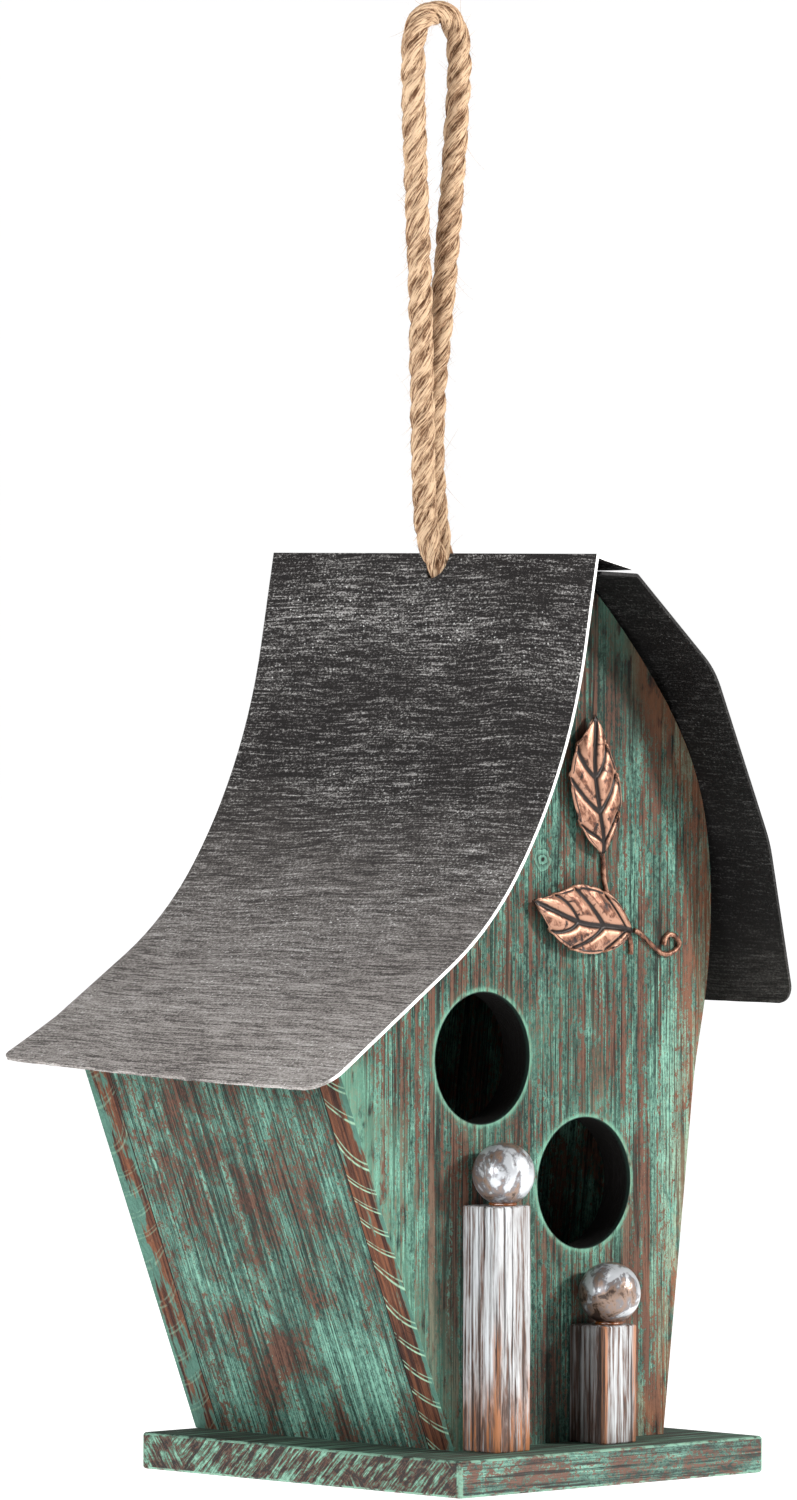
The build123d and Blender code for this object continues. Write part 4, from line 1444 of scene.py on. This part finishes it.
# ---------------------------------------------------------------- posts
@dataclass
class Posts:
    """Two whitewashed posts with a painted ball glued on each.

    Attributes:
        arris: How far a post's edges are rounded, in millimetres.
        wander: How far its sides wander in and out, in millimetres.
        ball_growth: A ball's radius as a share of its CAD node's.
        ball_rise: How much higher its middle is than its CAD node's, in millimetres.
        bead: Radius of the ring of glue, in millimetres.
    """

    arris: float = 0.6
    wander: float = 0.28
    ball_growth: float = 1.075
    ball_rise: float = 0.9
    bead: float = 3.2

    def post(self, node: str, name: str, seed: float) -> bpy.types.Object:
        """A post with hand-worn corners in place of a CAD node."""
        piece = cad_copy(node, name)
        low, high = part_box(node)
        middle = (low + high) / 2
        cut_across(piece, [low.z + (high.z - low.z) * n / 22 for n in range(1, 22)], 2)
        round_edges(piece, self.arris * MM)
        for vertex in piece.data.vertices:
            place = vertex.co
            if place.y > high.y - 0.8 * MM or place.z < low.z + 0.5 * MM:
                continue
            side = math.copysign(1, place.x - middle.x)
            wave = noise.noise(Vector((place.z * 95 + seed, 3 * side, place.y * 60)))
            place.x += self.wander * MM * wave * side
            if place.y < middle.y:
                place.y += 0.22 * MM * noise.noise(Vector((place.z * 110 + seed, place.x * 150, 9)))
        return piece

    def ball(self, node: str, name: str) -> bpy.types.Object:
        """A turned ball with a few flats, in place of a CAD node."""
        low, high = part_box(node)
        radius = (high.x - low.x) / 2
        middle = Vector(((low.x + high.x) / 2, (low.y + high.y) / 2, high.z - radius + self.ball_rise * MM))
        radius *= self.ball_growth
        deselect()
        bpy.ops.mesh.primitive_uv_sphere_add(segments=64, ring_count=40, radius=radius, location=middle)
        piece = bpy.context.object
        piece.name = name
        settle(piece)
        for vertex in piece.data.vertices:
            away = vertex.co - middle
            dent = noise.noise(vertex.co * 90) * 0.5 + noise.noise(vertex.co * 260) * 0.25
            vertex.co = middle + away * (1 - 0.012 - 0.014 * dent)
            vertex.co.z = max(vertex.co.z, low.z + 0.01 * MM)
        take(piece)
        bpy.ops.object.shade_smooth()
        return piece

    def glue(self, node: str, name: str) -> bpy.types.Object:
        """An uneven ring of glue under a ball."""
        low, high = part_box(node)
        middle = Vector(((low.x + high.x) / 2, (low.y + high.y) / 2, low.z + 0.35 * MM))
        deselect()
        bpy.ops.mesh.primitive_torus_add(
            major_segments=56,
            minor_segments=12,
            major_radius=self.bead * MM,
            minor_radius=0.62 * MM,
            location=middle,
        )
        piece = bpy.context.object
        piece.name = name
        settle(piece)
        for vertex in piece.data.vertices:
            away = vertex.co - middle
            swell = 1 + 0.30 * noise.noise(Vector((away.x * 400, away.y * 400, 2)))
            vertex.co = middle + Vector((away.x * swell, away.y * swell, away.z))
        take(piece)
        bpy.ops.object.shade_smooth()
        return piece

    def build(self) -> None:
        """Makes and dresses the posts, balls and glue."""
        # Painted shade: each post's wash is darkened a little, the short post's much more.
        tall = Whitewash(
            foot=25.0,
            left_face_shade=0.0,
            worn_edges=((-33.6, -61.9),),
            worn_to=52.0,
            shade_on_wash=0.015,
            seed=0.0,
        )
        # The short post's left face, in the tall post's shadow, gets painted shade.
        short = Whitewash(
            foot=4.0,
            left_face_shade=0.50,
            worn_edges=((9.8, -61.9), (23.4, -61.9)),
            worn_to=60.0,
            shade_on_wash=0.13,
            seed=0.37,
        )
        for height, wash, seed in (("tall", tall, 0.0), ("short", short, 4.0)):
            node = f"{height}_post"
            peg = self.post(node, f"{height}_peg", seed)
            fit_out(peg, "house", wash.material(f"{height}_wash"), (node,))
        glue = AmberGlue().material("amber_glue")
        for node, seed in (("tall_post_ball", 0.0), ("short_post_ball", 0.21)):
            ball = self.ball(node, node.replace("_post", "_peg"))
            fit_out(ball, "house", PearlSmear(seed).material(node + "_smears"), (node,))
            ring = self.glue(node, node.replace("_post_ball", "_glue"))
            fit_out(ring, "house", glue)


# ---------------------------------------------------------------- copper sprig
@dataclass
class Leaf:
    """A stamped copper leaf.

    Attributes:
        name: The piece's name.
        node: The CAD node that it stands for.
        middle: The midrib from stem to tip, as (x, height) in millimetres.
        sides: The two edges from stem to tip.
        veins: Where each pair of veins leaves the midrib and meets the edge, as shares of the length.
        swell: How far it is domed, in millimetres.
        blade: Its thickness, in millimetres.
    """

    name: str
    node: str
    middle: tuple[tuple[float, float], ...]
    sides: tuple[tuple[tuple[float, float], ...], tuple[tuple[float, float], ...]]
    veins: tuple[tuple[float, float], ...] = ((0.12, 0.34), (0.36, 0.60), (0.60, 0.80))
    swell: float = 1.5
    blade: float = 0.5

    def along(self, points: tuple[tuple[float, float], ...], share: float) -> Vector:
        """A point on the smooth curve through points."""
        spot = min(max(share, 0.0), 0.99999) * (len(points) - 1)
        index = int(spot)
        t = spot - index
        last = len(points) - 1
        a, b, c, d = (Vector(points[min(max(index + k, 0), last)]) for k in (-1, 0, 1, 2))
        square, cube = 2 * a - 5 * b + 4 * c - d, 3 * b - a - 3 * c + d
        return 0.5 * (2 * b + (c - a) * t + square * t * t + cube * t**3)

    def mesh(self) -> bpy.types.Object:
        """The leaf's domed and engraved blade."""
        long_way, cross_way = 96, 56
        deselect()
        bpy.ops.mesh.primitive_grid_add(x_subdivisions=long_way, y_subdivisions=cross_way, size=2.0)
        piece = bpy.context.object
        piece.name = self.name
        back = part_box(self.node)[1].y
        grooves, lip_highlights = [], []
        length = (Vector(self.middle[-1]) - Vector(self.middle[0])).length
        for vertex in piece.data.vertices:
            share, across = (vertex.co.x + 1) / 2, vertex.co.y
            rib = self.along(self.middle, share)
            edge = self.along(self.sides[0 if across > 0 else 1], share)
            out = abs(across)
            width = (edge - rib).length
            spot = rib.lerp(edge, out)
            rib_gap = out * width
            nearest = rib_gap / 0.85
            for start, end in self.veins:
                vein = start + (end - start) * out**1.25
                gap = abs(share - vein) * length * 0.8
                fade = 1.0 if out < 0.86 else 1.0 + (out - 0.86) * 22
                nearest = min(nearest, gap / 0.72 * fade)
            groove = math.exp(-(nearest**2) * 0.8)
            lip = math.exp(-((nearest - 2.1) ** 2) * 0.7)
            ends = min(1.0, math.sin(math.pi * clamped(share)) * 1.6) ** 0.6
            dome = self.swell * (1 - out**2.4) * ends
            pillow = 0.55 * (1 - math.exp(-((nearest / 3.2) ** 2)))
            rim = 0.28 * math.exp(-(((out - 0.95) / 0.05) ** 2))
            curl = 0.7 * (share**4) + 0.25 * noise.noise(Vector((spot.x * 0.16, spot.y * 0.16, 4)))
            rise = 0.55 + dome + pillow + rim + curl - 0.75 * groove
            vertex.co = at(spot.x, back / MM - 0.35 - rise, spot.y)
            grooves.append(max(groove, 0.9 * math.exp(-(((out - 0.90) / 0.03) ** 2))))
            # The lip band beside each groove and along the rim carries a painted highlight.
            lip_highlights.append(max(lip, math.exp(-(((out - 0.97) / 0.03) ** 2))))
        piece.data.attributes.new("groove", "FLOAT", "POINT").data.foreach_set("value", grooves)
        piece.data.attributes.new("lip", "FLOAT", "POINT").data.foreach_set("value", lip_highlights)
        settle(piece)
        turn_outwards(piece, merge=1e-6)
        if sum(polygon.normal.y for polygon in piece.data.polygons) > 0:
            piece.data.flip_normals()
        wall = piece.modifiers.new("blade", "SOLIDIFY")
        wall.thickness = self.blade * MM
        wall.offset = -1.0
        apply_modifiers(piece)
        bpy.ops.object.shade_smooth_by_angle(angle=math.radians(50))
        return piece

    def build(self, material: bpy.types.Material) -> None:
        """Makes and dresses the leaf."""
        fit_out(self.mesh(), "house", material, (self.node,))


@dataclass
class Sprig:
    """Two copper leaves, a stem and a curled tendril on the front panel.

    Attributes:
        upper, lower: The leaves.
    """

    upper: Leaf
    lower: Leaf

    def build(self) -> None:
        """Makes and dresses the sprig."""
        stamped = AntiqueCopper(True).material("stamped_copper")
        self.upper.build(stamped)
        self.lower.build(stamped)
        wire = AntiqueCopper(False).material("copper_wire")
        for node in ("leaf_stem", "leaf_tendril", "leaf_pins"):
            repaint(node, wire)


# ---------------------------------------------------------------- studio
@dataclass
class Studio:
    """Camera, soft lights and a white surround.

    Attributes:
        eye: The camera's place, in millimetres.
        ahead: Which way it looks.
        rightward: Which way is right in its picture.
        lens: Its focal length, in millimetres.
        floor_drop: How far the floor is under the house, in metres.
        middle: What the lamps look at, in metres.
    """

    eye: Triple = (-2124.2, -2175.9, -149.5)
    ahead: Triple = (0.6961, 0.7176, -0.0206)
    rightward: Triple = (0.7178, -0.6963, 0.0019)
    lens: float = 249.6
    floor_drop: float = 0.16
    middle: Triple = (0.0, 0.0, -0.26)

    def camera(self) -> None:
        """The camera, seen from the front left at the house's own height."""
        data = bpy.data.cameras.new("camera")
        data.lens = self.lens
        data.sensor_width = 36.0
        data.clip_end = 100.0
        camera = put_in_scene("camera", data)
        right = Vector(self.rightward).normalized()
        forward = Vector(self.ahead).normalized()
        up = right.cross(forward).normalized()
        right = forward.cross(up)
        turn = Matrix((right, up, -forward)).transposed().to_4x4()
        camera.matrix_world = Matrix.Translation(Vector(self.eye) * MM) @ turn
        bpy.context.scene.camera = camera

    def lamp(self, name: str, place: Triple, size: float, power: float, colour: Colour) -> None:
        """A soft round lamp that looks at the house.

        Args:
            name: Its name.
            place: Where it is from the house's middle, in metres.
            size: How wide it is, in metres.
            power: Its power in watts.
            colour: Its colour.
        """
        data = bpy.data.lights.new(name, "AREA")
        data.shape = "DISK"
        data.size = size
        data.energy = power
        data.color = colour
        lamp = put_in_scene(name, data)
        lamp.location = Vector(self.middle) + Vector(place)
        lamp.rotation_euler = (-Vector(place)).to_track_quat("-Z", "Y").to_euler()

    def surround(self) -> None:
        """A pale floor and a white shell that only shows behind the house."""
        deselect()
        bpy.ops.mesh.primitive_circle_add(
            vertices=96, radius=14.0, fill_type="NGON", location=(0, 0, BASE_UNDERSIDE - self.floor_drop)
        )
        floor = bpy.context.object
        floor.name = "floor"
        pattern = Pattern("pale_floor")
        grain = pattern.noise(pattern.scaled((3, 3, 3)), 2, 0.5)
        colour = pattern.mix(grain, (0.86, 0.86, 0.86), (0.9, 0.9, 0.9))
        pattern.shader.inputs["Emission Color"].default_value = (1, 1, 1, 1)
        pattern.shader.inputs["Emission Strength"].default_value = 0.80
        floor.data.materials.append(pattern.finish(colour, 0.9))
        bpy.ops.mesh.primitive_uv_sphere_add(segments=48, ring_count=24, radius=16.0)
        shell = bpy.context.object
        shell.name = "white_shell"
        shell.data.flip_normals()
        glow = Pattern("white_shell")
        glow.shader.inputs["Emission Color"].default_value = (1, 1, 1, 1)
        glow.shader.inputs["Emission Strength"].default_value = 1.0
        shell.data.materials.append(glow.finish((0.0, 0.0, 0.0), 1.0))
        shell.visible_diffuse = False
        shell.visible_glossy = False
        shell.visible_transmission = False
        shell.visible_shadow = False

    def light(self) -> None:
        """Soft light from all round, with the main lamp at the front right."""
        world = bpy.data.worlds.new("soft_world")
        world.use_nodes = True
        world.node_tree.nodes["Background"].inputs["Color"].default_value = (1, 1, 1, 1)
        world.node_tree.nodes["Background"].inputs["Strength"].default_value = 0.34
        bpy.context.scene.world = world
        self.lamp("main_light", (1.15, -1.6, 0.75), 0.28, 52.0, (1.0, 0.985, 0.96))
        self.lamp("left_light", (-1.9, -0.25, 0.45), 0.9, 30.0, (0.97, 0.985, 1.0))
        self.lamp("top_light", (-0.5, 0.0, 1.8), 0.9, 12.0, (1.0, 1.0, 1.0))
        bpy.context.scene.view_settings.view_transform = "Standard"


def main() -> None:
    """Builds the camera, the cord and every piece."""
    logging.basicConfig(level=logging.INFO, format="%(message)s")
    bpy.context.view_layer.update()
    studio = Studio()
    studio.camera()
    RopeLoop().build()
    Roof().build()
    House().build()
    CleanOutDoor().build()
    Posts().build()
    upper = Leaf(
        name="upper_copper_leaf",
        node="upper_leaf",
        middle=((21.3, 181.0), (19.6, 189.0), (17.4, 199.3), (16.2, 209.8), (17.6, 221.4)),
        sides=(
            ((21.3, 181.0), (13.5, 186.4), (7.3, 199.5), (8.6, 211.5), (17.6, 221.4)),
            ((21.3, 181.0), (26.8, 190.5), (27.6, 201.0), (22.6, 211.8), (17.6, 221.4)),
        ),
    )
    lower = Leaf(
        name="lower_copper_leaf",
        node="lower_leaf",
        middle=((33.6, 158.4), (25.3, 159.8), (13.6, 160.9), (4.4, 163.6), (-7.5, 168.2)),
        sides=(
            ((33.6, 158.4), (25.0, 168.4), (12.5, 172.5), (2.0, 170.6), (-7.5, 168.2)),
            ((33.6, 158.4), (25.0, 153.4), (12.0, 152.6), (0.5, 157.8), (-7.5, 168.2)),
        ),
    )
    Sprig(upper, lower).build()
    studio.surround()
    studio.light()


if __name__ == "__main__":
    main()
